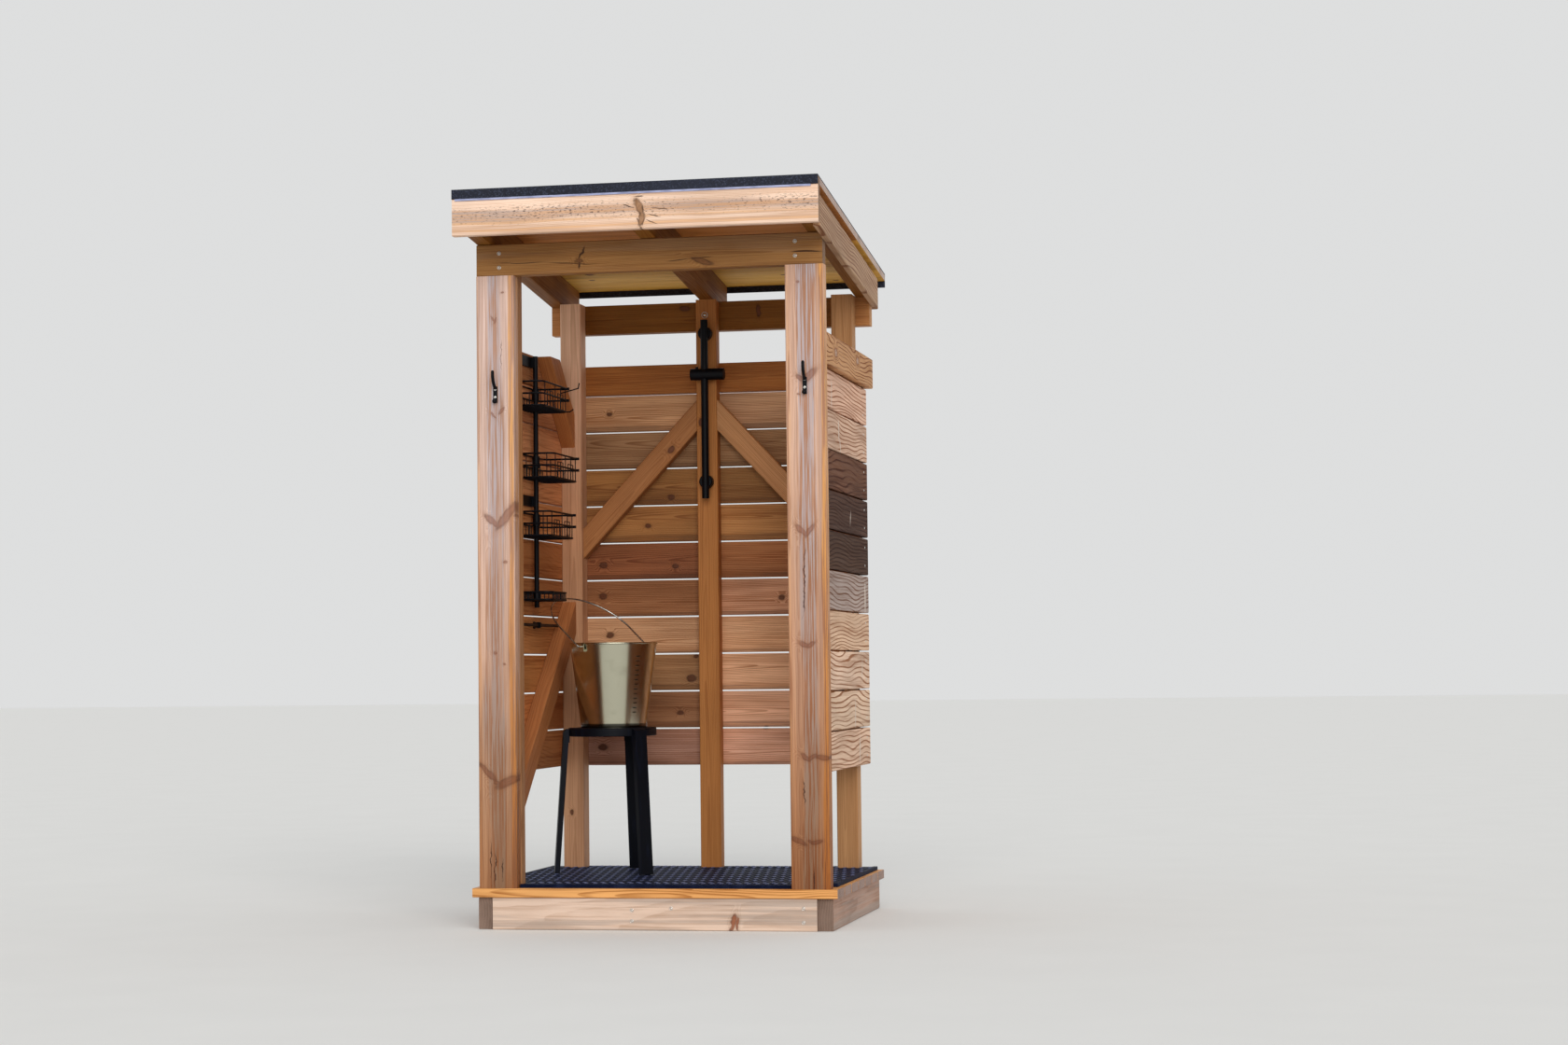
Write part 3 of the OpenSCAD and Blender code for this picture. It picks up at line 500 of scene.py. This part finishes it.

# Ten boards are screwed across the outside of each wall, a little apart, and a rail lies on the top one.
# Outside, their faces are brushed so that the hard rings stand proud, and inside they are smooth and orange brown.
# Tones are given from the lowest board up. Inside, the right bay at the rear is painted paler, most of all low down, as
# painted light.
wall_low, wall_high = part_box("rear_wall_boards")
wall_pitch = (wall_high.z - wall_low.z + BOARD_GAP) / 10


def wall_number(f):
    return ((f.z - wall_low.z) / wall_pitch).floor()


def wall_across(f):
    return f.z - wall_low.z - (wall_number(f) + BOARD_MIDDLE) * wall_pitch


OUTER_TONES = ["#d8b599", "#d5b69a", "#d6b69c", "#d2ae8f", "#a9958a", "#4a3122", "#492f22", "#68432e", "#d8b398",
               "#d7ae93"]
REAR_LEFT = ["#b1836e", "#916342", "#9f734c", "#cb9a71", "#9a6843", "#87502f", "#9b6837", "#9a6836", "#906b49",
             "#ca9a6f"]
REAR_RIGHT_LIT = ["#e8b092", "#dfa986", "#e5af86", "#e2ae83", "#cf9773", "#a4693e", "#c1874e", "#8d6134", "#a07851",
              "#c29670"]
SIDE_INNER = ["#aa6c40", "#ae6c3e", "#b37442", "#b57847", "#ae7043", "#b27244", "#cd8b58", "#ce8d5e", "#cf8e61",
              "#ce8d61"]
REAR_KNOTS = [(-349, 1533, 12), (-137, 1246, 16), (-219, 1150, 14), (-373, 1021, 18), (-124, 1013, 14),
              (-377, 917, 20), (-352, 784, 18), (-72, 636, 24), (-56, 711, 12), (-112, 524, 14), (-381, 410, 22),
              (310, 1300, 12), (240, 905, 14), (330, 650, 15), (180, 470, 12)]
BOARD = dict(count=10, ring=0.005, cut=0.010, tilt=0.05, vary=0.10, rough=(0.5, 0.72))
# The dark band along the lower edge of each rear board is painted shade.
dress(wood("rear wall board", lambda f: f.x, wall_across, lambda f: f.y - 0.4375, wall_number, tones=OUTER_TONES,
           seed=40.0, inner=(REAR_LEFT, 0.8, REAR_RIGHT_LIT), contrast=0.9, blotch=1.0, streaks=0.9,
           face=lambda f: (f.x, f.z), spots=on_front([(x - 3, z, x + 3, z, wide) for x, z, wide in REAR_KNOTS]),
           spot_tone="#5e3018", run=(1, 0, 0), bands=[(-0.052, 0.011, "#4d2c17", 0.55, 0.03)], **BOARD),
      "rear_wall_boards")
LINE = (0.45, 0.28, 0.19)


def side_wall(name, seed, tones, pale):
    return wood(name, lambda f: f.y, wall_across, lambda f: abs(f.x) - 0.514, wall_number, tones=tones, seed=seed,
                line=LINE, inner=(SIDE_INNER, 0.25), contrast=1.15, figure=(2.1, 6.0, 8.5), blotch=0.9,
                face=lambda f: (f.y, f.z), pale_spots=pale, run=(0, 1, 0), relief=0.0016, shine=0.03, **BOARD)


def on_side(marks):
    """Ovals of a side as they lie in the frame. They are given back from the face of the planks and up from the deck"""
    front = 437.5
    return [(y0 - front, z0 + DECK, y1 - front, z1 + DECK, wide) for y0, z0, y1, z1, wide in marks]


PALE_MARKS = [(358, 1440, 362, 1390, 20), (376, 1385, 395, 1352, 14), (240, 1560, 236, 1480, 16),
              (610, 560, 606, 480, 18), (750, 690, 745, 620, 14), (690, 440, 686, 360, 20),
              (820, 930, 820, 860, 30), (560, 1170, 552, 1130, 10)]
dress(side_wall("right wall board", 60.0, OUTER_TONES, on_side(PALE_MARKS)), "right_wall_boards")
dress(side_wall("left wall board", 90.0, OUTER_TONES[3:] + OUTER_TONES[:3], ()), "left_wall_boards")
WALL_RAIL_Z = 1.771
dress(wood("side wall rail", lambda f: f.y, lambda f: f.z - WALL_RAIL_Z, lambda f: abs(f.x) - 0.524, right_side,
           tones=["#b8895f"], seed=80.0, line=LINE, contrast=1.2, figure=(3.0, 8.0, 8.5),
           inner=(["#b0764c"], 0.3), shine=0.05, face=lambda f: (f.y, f.z),
           spots=on_side([(208, 1647, 222, 1647, 26), (604, 1662, 620, 1662, 24)]),
           spot_tone="#d0b7a2", spot_rim="#8a5136", run=(0, 1, 0), relief=0.0016),
      "left_wall_rail", "right_wall_rail")
dress(wood("rear wall rail", lambda f: f.x, lambda f: f.z - WALL_RAIL_Z, lambda f: f.y - RAIL_DEPTH, lambda f: 0.0,
           tones=["#a86830"], seed=84.0, run=(1, 0, 0), **RAIL), "rear_wall_rail")

# Each wall is braced by leaning timbers whose ends are cut to fit against the posts.
# They are orange brown and smooth, like the inside of the boards. At the sides one stands over the other.
BRACE = dict(POST, width=0.08, run=None)


def leaning(angle, first, second, middle=0.0):
    """Length along and across a timber that leans in the plane of two axes. Its middle line passes the frame's origin
    at a distance of middle"""
    c, s = math.cos(math.radians(angle)), math.sin(math.radians(angle))
    return (lambda f: first(f) * c + second(f) * s), (lambda f: second(f) * c - first(f) * s - middle)


high_along, high_across = leaning(-43.5, lambda f: f.y, lambda f: f.z, 1.34)
low_along, low_across = leaning(41.5, lambda f: f.y, lambda f: f.z, 0.49)
rear_along, rear_across = leaning(-46.9, lambda f: abs(f.x), lambda f: f.z, 1.15)


def upper(f):
    return f.z.step(1.2, 1.21)


dress(wood("side brace", lambda f: high_along(f) * upper(f) + low_along(f) * (1 - upper(f)),
           lambda f: high_across(f) * upper(f) + low_across(f) * (1 - upper(f)), lambda f: abs(f.x) - 0.476,
           upper, tones=["#a5683c", "#b0703f"], count=2, seed=90.0, **BRACE), "left_wall_braces", "right_wall_braces")
# The left rear brace is painted darker as painted shade, and the right one lighter as painted light.
dress(wood("rear brace", rear_along, rear_across, lambda f: f.y - 0.4, right_side,
           tones=["#a56e40", "#c08a5a"], count=2, seed=97.0, **BRACE), "rear_wall_braces")

# Three rafters are notched over the header beam and the rear rail, and carry boards that run across them.
# Seen from below the roof boards are orange at the front and yellowish behind, and the rafters are darker. The orange
# of the front boards is painted shade.
PITCH = 6.3
ROOF_BOARD, ROOF_FRONT = 0.1214, 0.9  # pitch of the boards, and the distance ahead of the middle that they count from
roof_along, roof_across = leaning(-PITCH, lambda f: f.y, lambda f: f.z)


def roof_number(f):
    return ((roof_along(f) + ROOF_FRONT) / ROOF_BOARD).floor()


dress(wood("rafter", roof_along, lambda f: roof_across(f) - 2.12, lambda f: f.x, lambda f: (f.x * 3.0 + 1.5).floor(),
           tones=["#83521a"], seed=110.0, chance=0.3, **RAIL), "left_rafter", "middle_rafter", "right_rafter")
dress(wood("roof board", lambda f: f.x, lambda f: roof_along(f) + ROOF_FRONT - (roof_number(f) + 0.5) * ROOF_BOARD,
           lambda f: roof_across(f) - 2.2, roof_number, tones=["#b8783c"] * 6 + ["#dfab49"] * 6, count=12,
           seed=120.0, contrast=0.4, grey="#9c8156", weather=0.15, chance=0.3, run=(1, 0, 0),
           end=("#c6afa2", "#7a5b4b")), "roof_boards")

# The fascia is a wide planed board across the rafters' ends. Mould has left a grey speckled band along its middle,
# and round its one big knot the grain is torn in short dark splits. The barge board is a brushed one along the
# right rafter.
FASCIA_SPLITS = [(4, 2096, 34, 2095, 5), (10, 2088, 12, 2068, 6), (30, 2064, 34, 2050, 6), (18, 2050, 26, 2036, 6),
                 (14, 2030, 20, 2016, 5), (34, 2030, 30, 2012, 5), (24, 2006, 24, 1994, 6), (46, 2040, 84, 2030, 3),
                 (42, 2026, 74, 2012, 3), (-30, 2072, 0, 2062, 4), (60, 2060, 110, 2052, 3)]
dress(wood("fascia", lambda f: f.x, lambda f: f.z - 2.19, lambda f: f.y + 0.6035, lambda f: 0.0, tones=["#e4c5ad"],
           seed=131.0, width=0.145, line=(0.74, 0.58, 0.44), contrast=0.45, cut=0.015, tilt=0.02,
           run=(1, 0, 0), end=("#9c7a5e", "#5b4030"), face=lambda f: (f.x, f.z), spot_tone="#b3835c",
           spots=on_front([(12, 2078, 26, 2050, 20), (30, 2040, 24, 2018, 16)]), scars=on_front(FASCIA_SPLITS),
           bands=[(-0.008, 0.020, "#ab9388", 0.75, 0.05), (-0.052, 0.006, "#dfa468", 0.6, 0.02),
                  (-0.030, 0.005, "#e2ab72", 0.5, 0.02)],
           specks=(-0.005, 0.034, "#4b3a38")), "front_fascia")
dress(wood("barge board", roof_along, lambda f: roof_across(f) - 2.1, lambda f: f.x - 0.559, lambda f: 0.0,
           tones=["#b18d6b"], seed=140.0, width=0.095, line=LINE, contrast=1.2, figure=(2.5, 6.0, 8.0),
           relief=0.0014), "right_barge_board")

# The roof is covered with black felt with a fine mineral surface, folded down over the front and the eave.
# Along the foot of the front fold runs a thin pale edge strip.
felt = Finish("roofing felt", Specular_IOR_Level=0.3)
grain_colours = felt.add("ShaderNodeTexVoronoi", {"feature": "F1"}, {"Vector": felt.place, "Scale": 300.0}, out=1)
grains = felt.parts(grain_colours)[0]
felt_patch = felt.noise(felt.place, 3.0, 3.0)
felt_colour = felt.blend(grains.step(0.62, 1.0) * 0.6, paint("#1a1d29"), paint("#474d60"))
felt_colour = felt.blend(felt_patch.step(0.4, 0.8) * 0.35, felt_colour, paint("#2e3242"))
dress(felt.set(Base_Color=felt_colour, Roughness=0.7 + grains * 0.2, Normal=felt.bump(grains, 0.0006)),
      "roof_felt", "front_felt_strip", "eave_felt_strip")


def piece(name, mesh, material, body):
    """Puts a finished mesh in the scene, riding on a body of the frame"""
    mesh.materials.clear()
    mesh.materials.append(material)
    made = bpy.data.objects.new(name, mesh)
    scene.collection.objects.link(made)
    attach(made, body)
    return made


def slabs(name, boxes):
    """Mesh of some boxes, each given by its low and its high corner"""
    vertices, faces = [], []
    for (x0, y0, z0), (x1, y1, z1) in boxes:
        first = len(vertices)
        vertices += [(x, y, z) for z in (z0, z1) for y in (y0, y1) for x in (x0, x1)]
        faces += [tuple(first + i for i in quad) for quad in
                  ((0, 2, 3, 1), (4, 5, 7, 6), (0, 1, 5, 4), (2, 6, 7, 3), (0, 4, 6, 2), (1, 3, 7, 5))]
    mesh = bpy.data.meshes.new(name)
    mesh.from_pydata(vertices, [], faces)
    return mesh


STRIP_LEFT, STRIP_RIGHT = 0.010, 0.022
STRIP_FRONT, STRIP_BACK = 0.0004, 0.0034
STRIP_DROP, STRIP_LAP = 0.0055, 0.0005
fold_low, fold_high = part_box("front_felt_strip")
edge = Finish("felt edge strip", Roughness=0.45)
edge_marks = edge.noise(edge.vector(edge.x * 30.0, edge.y, edge.z * 200.0), 1.0, 3.0)
edge.set(Base_Color=edge.blend(edge_marks.step(0.35, 0.75), paint("#a9aed0"), paint("#7f84a6")),
         Normal=edge.bump(edge_marks, 0.0003))
edge_mesh = slabs("front_edge_strip", [
    ((fold_low.x + STRIP_LEFT, fold_low.y + STRIP_FRONT, fold_low.z - STRIP_DROP),
     (fold_high.x - STRIP_RIGHT, fold_low.y + STRIP_BACK, fold_low.z + STRIP_LAP))])
piece("front_edge_strip", edge_mesh, edge.material, "stall")

# A black rubber mat covers the floor, cut from one sheet round the posts, with a plain border.
# Its surface is a raised diamond mesh with a low lozenge on each crossing, and it sheds the water.
# The tops of the lozenges carry a painted pale highlight, which is strongest where they are seen aslant.
KNOB, BAR, CELL = 0.0028, 0.0020, (0.028, 0.150)  # height of a lozenge, radius of a bar, width and length of a cell
LOZENGE = (0.0095, 0.0260)  # half its width and half its length
BORDER, MAT_GAP = 0.014, 0.004
RIM_IN, RIM_SUNK, RIM_PROUD = 0.0004, 0.002, 0.0014
mat_low, mat_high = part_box("rubber_mat")
SHEET = mat_high.z - KNOB
rubber = Finish("ribbed rubber", Specular_IOR_Level=0.02)
rubber_dust = rubber.noise(rubber.place, 30.0, 4.0)
sheen_tops = (rubber.z - SHEET).step(0.0017, 0.0024)
rubber_colour = rubber.blend(rubber_dust.step(0.42, 0.75) * 0.55, paint("#10162c"), paint("#29324f"))
aslant = rubber.add("ShaderNodeLayerWeight", None, {"Blend": 0.5}, out=1)
# Painted highlight: pale blue on the raised tops, most where they are seen aslant
shining = sheen_tops * (0.5 + rubber_dust * 0.8) * (0.10 + aslant.step(0.72, 0.94) * 0.90)
rubber_colour = rubber.blend(shining, rubber_colour, paint("#7a86b6"))
rubber.set(Base_Color=rubber_colour, Roughness=0.38 + rubber_dust * 0.2, Normal=rubber.bump(rubber_dust, 0.0003))


def grid_of(name, material, head, start, lines, turn=(0, 0, 0), **sizes):
    """Plain mesh of one small shape repeated on up to three lines, each a step and a count, made by Geometry Nodes"""
    tree = bpy.data.node_groups.new(name, "GeometryNodeTree")
    face = tree.interface
    face.new_socket("Geometry", in_out="INPUT", socket_type="NodeSocketGeometry")
    face.new_socket("Geometry", in_out="OUTPUT", socket_type="NodeSocketGeometry")
    values = {"Start": start, "Turn": turn, "Finish": material}
    for i, (step, count) in enumerate(lines):
        values[f"Step {i + 1}"], values[f"Count {i + 1}"] = step, count
    values.update({key.replace("_", " "): value for key, value in sizes.items()})
    kinds = {int: "NodeSocketInt", float: "NodeSocketFloat", tuple: "NodeSocketVector",
             bpy.types.Material: "NodeSocketMaterial"}
    for key, value in values.items():
        face.new_socket(key, in_out="INPUT", socket_type=kinds[type(value)])
    given = tree.nodes.new("NodeGroupInput")

    def node(kind, settings=None, **sockets):
        """Adds a node. A socket is named with _ for each space, or by s and its number"""
        made = tree.nodes.new(kind)
        for key, value in (settings or {}).items():
            setattr(made, key, value)
        for key, value in sockets.items():
            socket = made.inputs[int(key[1:])] if key[1:].isdigit() else made.inputs[key.replace("_", " ")]
            if isinstance(value, bpy.types.NodeSocket):
                tree.links.new(value, socket)
            else:
                socket.default_value = value
        return made.outputs[0]

    points = None
    for i in range(len(lines)):
        place = given.outputs["Start"] if i == 0 else (0, 0, 0)
        line = node("GeometryNodeMeshLine", Count=given.outputs[f"Count {i + 1}"], Start_Location=place,
                    Offset=given.outputs[f"Step {i + 1}"])
        if points is not None:
            copies = node("GeometryNodeInstanceOnPoints", Points=line, Instance=points)
            line = node("GeometryNodeRealizeInstances", Geometry=copies)
        points = line
    euler = node("FunctionNodeEulerToRotation", Euler=given.outputs["Turn"])
    shape = head(node, given.outputs, tree)
    copies = node("GeometryNodeInstanceOnPoints", Points=points, Instance=shape, Rotation=euler)
    plain = node("GeometryNodeRealizeInstances", Geometry=copies)
    finished = node("GeometryNodeSetMaterial", Geometry=plain, Material=given.outputs["Finish"])
    result = tree.nodes.new("NodeGroupOutput")
    tree.links.new(finished, result.inputs[0])

    holder = bpy.data.objects.new(name, bpy.data.meshes.new(name))
    scene.collection.objects.link(holder)
    modifier = holder.modifiers.new(name, "NODES")
    modifier.node_group = tree
    for item in face.items_tree:
        if item.in_out == "INPUT" and item.name in values:
            modifier[item.identifier] = values[item.name]
    made = bpy.data.meshes.new_from_object(holder.evaluated_get(bpy.context.evaluated_depsgraph_get()))
    made.name = name
    holder.modifiers.clear()
    bpy.data.objects.remove(holder)
    return made


def crossed_bars(node, given, tree):
    """Two round bars that cross in one cell of the mesh, with a lozenge in its middle and one at a corner"""
    half = node("ShaderNodeVectorMath", {"operation": "SCALE"}, s0=given["Cell"], Scale=0.5)
    over = node("ShaderNodeVectorMath", {"operation": "MULTIPLY"}, s0=half, s1=(-1.0, 1.0, 1.0))
    section = node("GeometryNodeCurvePrimitiveCircle", Resolution=6, Radius=given["Bar radius"])
    join = tree.nodes.new("GeometryNodeJoinGeometry")
    for corner in (half, over):
        far = node("ShaderNodeVectorMath", {"operation": "SCALE"}, s0=corner, Scale=-1.0)
        line = node("GeometryNodeCurvePrimitiveLine", Start=far, End=corner)
        bar = node("GeometryNodeCurveToMesh", Curve=line, Profile_Curve=section, Fill_Caps=True)
        tree.links.new(bar, join.inputs[0])
    ball = node("GeometryNodeMeshUVSphere", Segments=8, Rings=4, Radius=1.0)
    lozenge = node("GeometryNodeTransform", Geometry=ball, Scale=given["Lozenge"])
    tree.links.new(lozenge, join.inputs[0])
    tree.links.new(node("GeometryNodeTransform", Geometry=lozenge, Translation=half), join.inputs[0])
    return join.outputs[0]


def join_meshes(name, meshes):
    vertices, faces = [], []
    for mesh in meshes:
        first = len(vertices)
        vertices += [tuple(vertex.co) for vertex in mesh.vertices]
        faces += [tuple(first + i for i in face.vertices) for face in mesh.polygons]
    joined = bpy.data.meshes.new(name)
    joined.from_pydata(vertices, [], faces)
    return joined


# The plain sheet is the outline of the CAD mat, thinner by the height of the lozenges
bm = bmesh.new()
bm.from_mesh(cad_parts["rubber_mat"].data)
bmesh.ops.remove_doubles(bm, verts=bm.verts, dist=0.00001)
for vertex in bm.verts:
    if vertex.co.z > mat_high.z - 0.001:
        vertex.co.z = SHEET
sheet = bpy.data.meshes.new("mat_sheet")
bm.to_mesh(sheet)
bm.free()

# Fields of mesh between the posts, and the border's strips round them, by low and high corners in the plan
post_low, post_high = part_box("rear_left_post")
middle_low, middle_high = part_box("rear_middle_post")
stud_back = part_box("front_left_stud")[1].y + MAT_GAP
post_side, plank_side = -post_high.x - MAT_GAP, -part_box("front_left_plank")[1].x - MAT_GAP
middle_left, middle_right = middle_low.x - MAT_GAP, middle_high.x + MAT_GAP
post_front, mat_back = post_low.y - MAT_GAP - BORDER, mat_high.y - BORDER
fields = [((-plank_side + BORDER, mat_low.y + BORDER), (plank_side - BORDER, stud_back)),
          ((mat_low.x + BORDER, stud_back + BORDER), (mat_high.x - BORDER, post_front)),
          ((-post_side + BORDER, post_front), (middle_left - BORDER, mat_back)),
          ((middle_right + BORDER, post_front), (post_side - BORDER, mat_back))]
strips = [((-plank_side, mat_low.y), (plank_side, mat_low.y + BORDER)),
          ((mat_low.x, stud_back), (mat_low.x + BORDER, mat_high.y)),
          ((mat_high.x - BORDER, stud_back), (mat_high.x, mat_high.y)),
          ((-post_side, mat_back), (middle_left, mat_high.y)),
          ((middle_right, mat_back), (post_side, mat_high.y))]
meshes = [sheet]
for (x0, y0), (x1, y1) in fields:
    across, back = round((x1 - x0) / CELL[0]), max(1, round((y1 - y0) / CELL[1]))
    wide, long = (x1 - x0) / across, (y1 - y0) / back
    meshes.append(grid_of("mat_mesh", rubber.material, crossed_bars, (x0 + wide / 2, y0 + long / 2, SHEET),
                          [((wide, 0.0, 0.0), across), ((0.0, long, 0.0), back)],
                          Cell=(wide, long, 0.0), Bar_radius=BAR, Lozenge=LOZENGE + (KNOB,)))
meshes.append(slabs("mat_rim", [((x0 + RIM_IN, y0 + RIM_IN, SHEET - RIM_SUNK),
                                 (x1 - RIM_IN, y1 - RIM_IN, SHEET + RIM_PROUD)) for (x0, y0), (x1, y1) in strips]))
diamond_mat = piece("diamond_mat", join_meshes("diamond_mat", meshes), rubber.material, "stall")
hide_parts("rubber_mat")

# The rail, its holder, the coat hooks and the wire caddy are steel with a satin black powder coat.
# The coat is slightly pebbled and shows dust and water marks.
black = Finish("black powder coat", Specular_IOR_Level=0.15)
pebble = black.noise(black.place, 900.0, 2.0)
marks = black.noise(black.place, 25.0, 4.0)
dress(black.set(Base_Color=black.blend(marks.step(0.5, 0.8) * 0.4, paint("#04050a"), paint("#12141f")),
                Roughness=0.36 + marks * 0.2, Normal=black.bump(pebble, 0.0001)),
      "shower_rail", "rail_brackets", "rail_holder", "coat_hooks", "caddy_pole", "top_basket", "middle_basket",
      "bottom_basket", "caddy_rack", "towel_bar")

# The stool is black painted wood: a thick round seat with a shallow edge, on three splayed legs.
# The paint is satin, and rubbed thin in places.
paintwork = Finish("black paint", Specular_IOR_Level=0.12)
brush = paintwork.noise(paintwork.vector(paintwork.x * 60.0, paintwork.y * 60.0, paintwork.z * 6.0), 1.0, 3.0)
dress(paintwork.set(Base_Color=paintwork.blend(brush.step(0.5, 0.85) * 0.5, paint("#05070f"), paint("#161c30")),
                    Roughness=0.40 + brush * 0.2, Normal=paintwork.bump(brush, 0.0002)), "stool_seat", "stool_legs")

# The bucket is spun from stainless steel, with a rolled rim, riveted ears and a scale embossed in its wall.
# Its wall carries fine turning marks and a few dull water stains, and the band of its foot ring is painted dark, as a
# painted reflection of the black seat and the shade there.
# Its bail is bent from bright wire, which is dulled in patches.
steel = Finish("polished steel", Metallic=1.0)
turning = steel.noise(steel.vector(steel.x * 3.0, steel.y * 3.0, steel.z * 700.0), 1.0, 2.0)
stains = steel.noise(steel.place, 22.0, 4.0)
bucket_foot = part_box("bucket")[0].z
# Painted reflection and shade: the lowest part of the wall goes dark
foot = (steel.z - bucket_foot).step(0.016, 0.012)
# The steel's olive tint is a painted reflection of green surroundings, and the darker patches are water stains.
steel_colour = steel.blend(stains.step(0.5, 0.8) * 0.35, paint("#c3c0aa"), paint("#94907c"))
steel_colour = steel.blend(foot * 0.85, steel_colour, paint("#33302c"))
dress(steel.set(Base_Color=steel_colour, Roughness=0.14 + turning * 0.08 + stains * 0.06,
                Normal=steel.bump(turning, 0.00004)), "bucket")
wire = Finish("bright wire", Metallic=1.0)
dulled = wire.noise(wire.place, 60.0, 3.0)
dress(wire.set(Base_Color=wire.blend(dulled.step(0.4, 0.7), paint("#c9c7c3"), paint("#8e8a84")),
               Roughness=0.22 + dulled * 0.2), "bucket_bail")


def mark(node, given, tree):
    """One raised bar of the scale"""
    return node("GeometryNodeMeshCube", Size=given["Size"])


BUCKET_X, BUCKET_Y = -0.260, 0.1085
FOOT_WIDE, MOUTH_WIDE, WALL_TALL = 0.213, 0.284, 0.276
MARKS, MARK_SIZE, MARK_PROUD = 13, (0.013, 0.0016, 0.0030), 0.0001
marks_turn = math.radians(50)


def on_wall(h):
    """Point of the bucket's wall at a height over its foot, on the line that carries the scale"""
    r = (FOOT_WIDE + (MOUTH_WIDE - FOOT_WIDE) * h / WALL_TALL) / 2 + MARK_PROUD
    return Vector((BUCKET_X + r * math.sin(marks_turn), BUCKET_Y - r * math.cos(marks_turn), bucket_foot + h))


first_mark, last_mark = on_wall(0.050), on_wall(0.230)
dull = Finish("embossed steel", Metallic=1.0, Roughness=0.45)
dull.set(Base_Color=dull.blend(dull.noise(dull.place, 90.0, 3.0), paint("#3a362c"), paint("#5e5a4a")))
scale_mesh = grid_of("bucket_scale", dull.material, mark, tuple(first_mark),
                     [(tuple((last_mark - first_mark) / (MARKS - 1)), MARKS)],
                     turn=(0.0, 0.0, marks_turn), Size=MARK_SIZE)
piece("bucket_scale", scale_mesh, dull.material, "stall")

# Zinc plated screws hold the timber together, the stout ones with a washer under a domed head.
# The walls are held by small screws, two to each board at every post.
zinc = Finish("zinc plate", Metallic=1.0)
zinc_marks = zinc.noise(zinc.place, 260.0, 3.0)
zinc.set(Base_Color=zinc.blend(zinc_marks, paint("#e4e2de"), paint("#b9b6b0")), Roughness=0.28 + zinc_marks * 0.2)


def washered_head(node, given, tree):
    """Domed head inside a washer, with its axis on Z"""
    ring = node("GeometryNodeCurvePrimitiveCircle", Resolution=16, Radius=given["Washer radius"])
    section = node("GeometryNodeCurvePrimitiveCircle", Resolution=6, Radius=given["Thickness"])
    washer = node("GeometryNodeCurveToMesh", Curve=ring, Profile_Curve=section)
    ball = node("GeometryNodeMeshUVSphere", Segments=12, Rings=6, Radius=given["Head radius"])
    dome = node("GeometryNodeTransform", Geometry=ball, Scale=(1.0, 1.0, 0.45))
    join = tree.nodes.new("GeometryNodeJoinGeometry")
    tree.links.new(washer, join.inputs[0])
    tree.links.new(dome, join.inputs[0])
    return node("GeometryNodeSetShadeSmooth", Geometry=join.outputs[0])


FRONT, SIDE = (math.pi / 2, 0.0, 0.0), (0.0, math.pi / 2, 0.0)


def screws(name, start, *lines, turn=FRONT, head=0.0030, washer=0.0052, thickness=0.0011):
    """Screws from a start, repeated on lines of a step and a count. head and washer are radii"""
    mesh = grid_of(name, zinc.material, washered_head, tuple(float(v) for v in start),
                   lines or [((0.0, 0.0, 0.0), 1)], turn=turn,
                   Head_radius=head, Washer_radius=washer, Thickness=thickness)
    piece(name, mesh, zinc.material, "stall")


COUNTERSUNK = dict(head=0.0034, washer=0.0036, thickness=0.0008)
HOOK_STRAP = 0.004
plank_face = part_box("front_left_plank")[0].y
joist_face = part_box("base_front_joist")[0].y
screws("header_screws", (-0.475, plank_face, 2.048), ((0.0, 0.0, 0.0445), 2), ((0.938, 0.0, 0.002), 2))
screws("left_joist_screws", (-0.067, joist_face, 0.028), ((0.0, 0.0, 0.033), 2))
screws("middle_joist_screw", (0.056, joist_face, 0.067))
screws("right_joist_screws", (0.466, joist_face, 0.026), ((0.0, 0.0, 0.042), 2))
screws("hook_screws", (-0.489, plank_face - HOOK_STRAP, 1.644), ((0.0, 0.0, 0.024), 2), ((0.978, 0.0, 0.002), 2),
       **COUNTERSUNK)
screws("post_washer", (-0.004, middle_low.y, 1.980), head=0.005, washer=0.0100, thickness=0.0012)
screws("brace_screws", (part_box("left_wall_braces")[1].x, 0.3585, 0.996), turn=SIDE, **COUNTERSUNK)

# The walls' screws stand 30 mm in from the edges of each board, which is 120 mm wide
SMALL = dict(head=0.0028, washer=0.0030, thickness=0.0007)
FROM_EDGE, STUD_TO_POST = 0.030, 0.754
first_row = wall_low.z + FROM_EDGE
rows_up = [((0.0, 0.0, wall_pitch), 10), ((0.0, 0.0, 2 * FROM_EDGE), 2)]
posts_across = ((POST_X, 0.0, 0.0), 3)
screws("rear_wall_screws", (-POST_X, wall_high.y, first_row), *rows_up, posts_across, **SMALL)
for side, corner in (("right", 1), ("left", 0)):
    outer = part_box(f"{side}_wall_boards")[corner].x
    screws(f"{side}_wall_screws", (outer, -STUD_Y, first_row), *rows_up, ((0.0, STUD_TO_POST, 0.0), 2), turn=SIDE,
           **SMALL)
rail_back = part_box("rear_top_rail")[1].y
screws("top_rail_screws", (-POST_X, rail_back, 1.955), ((0.0, 0.0, 0.05), 2), posts_across)
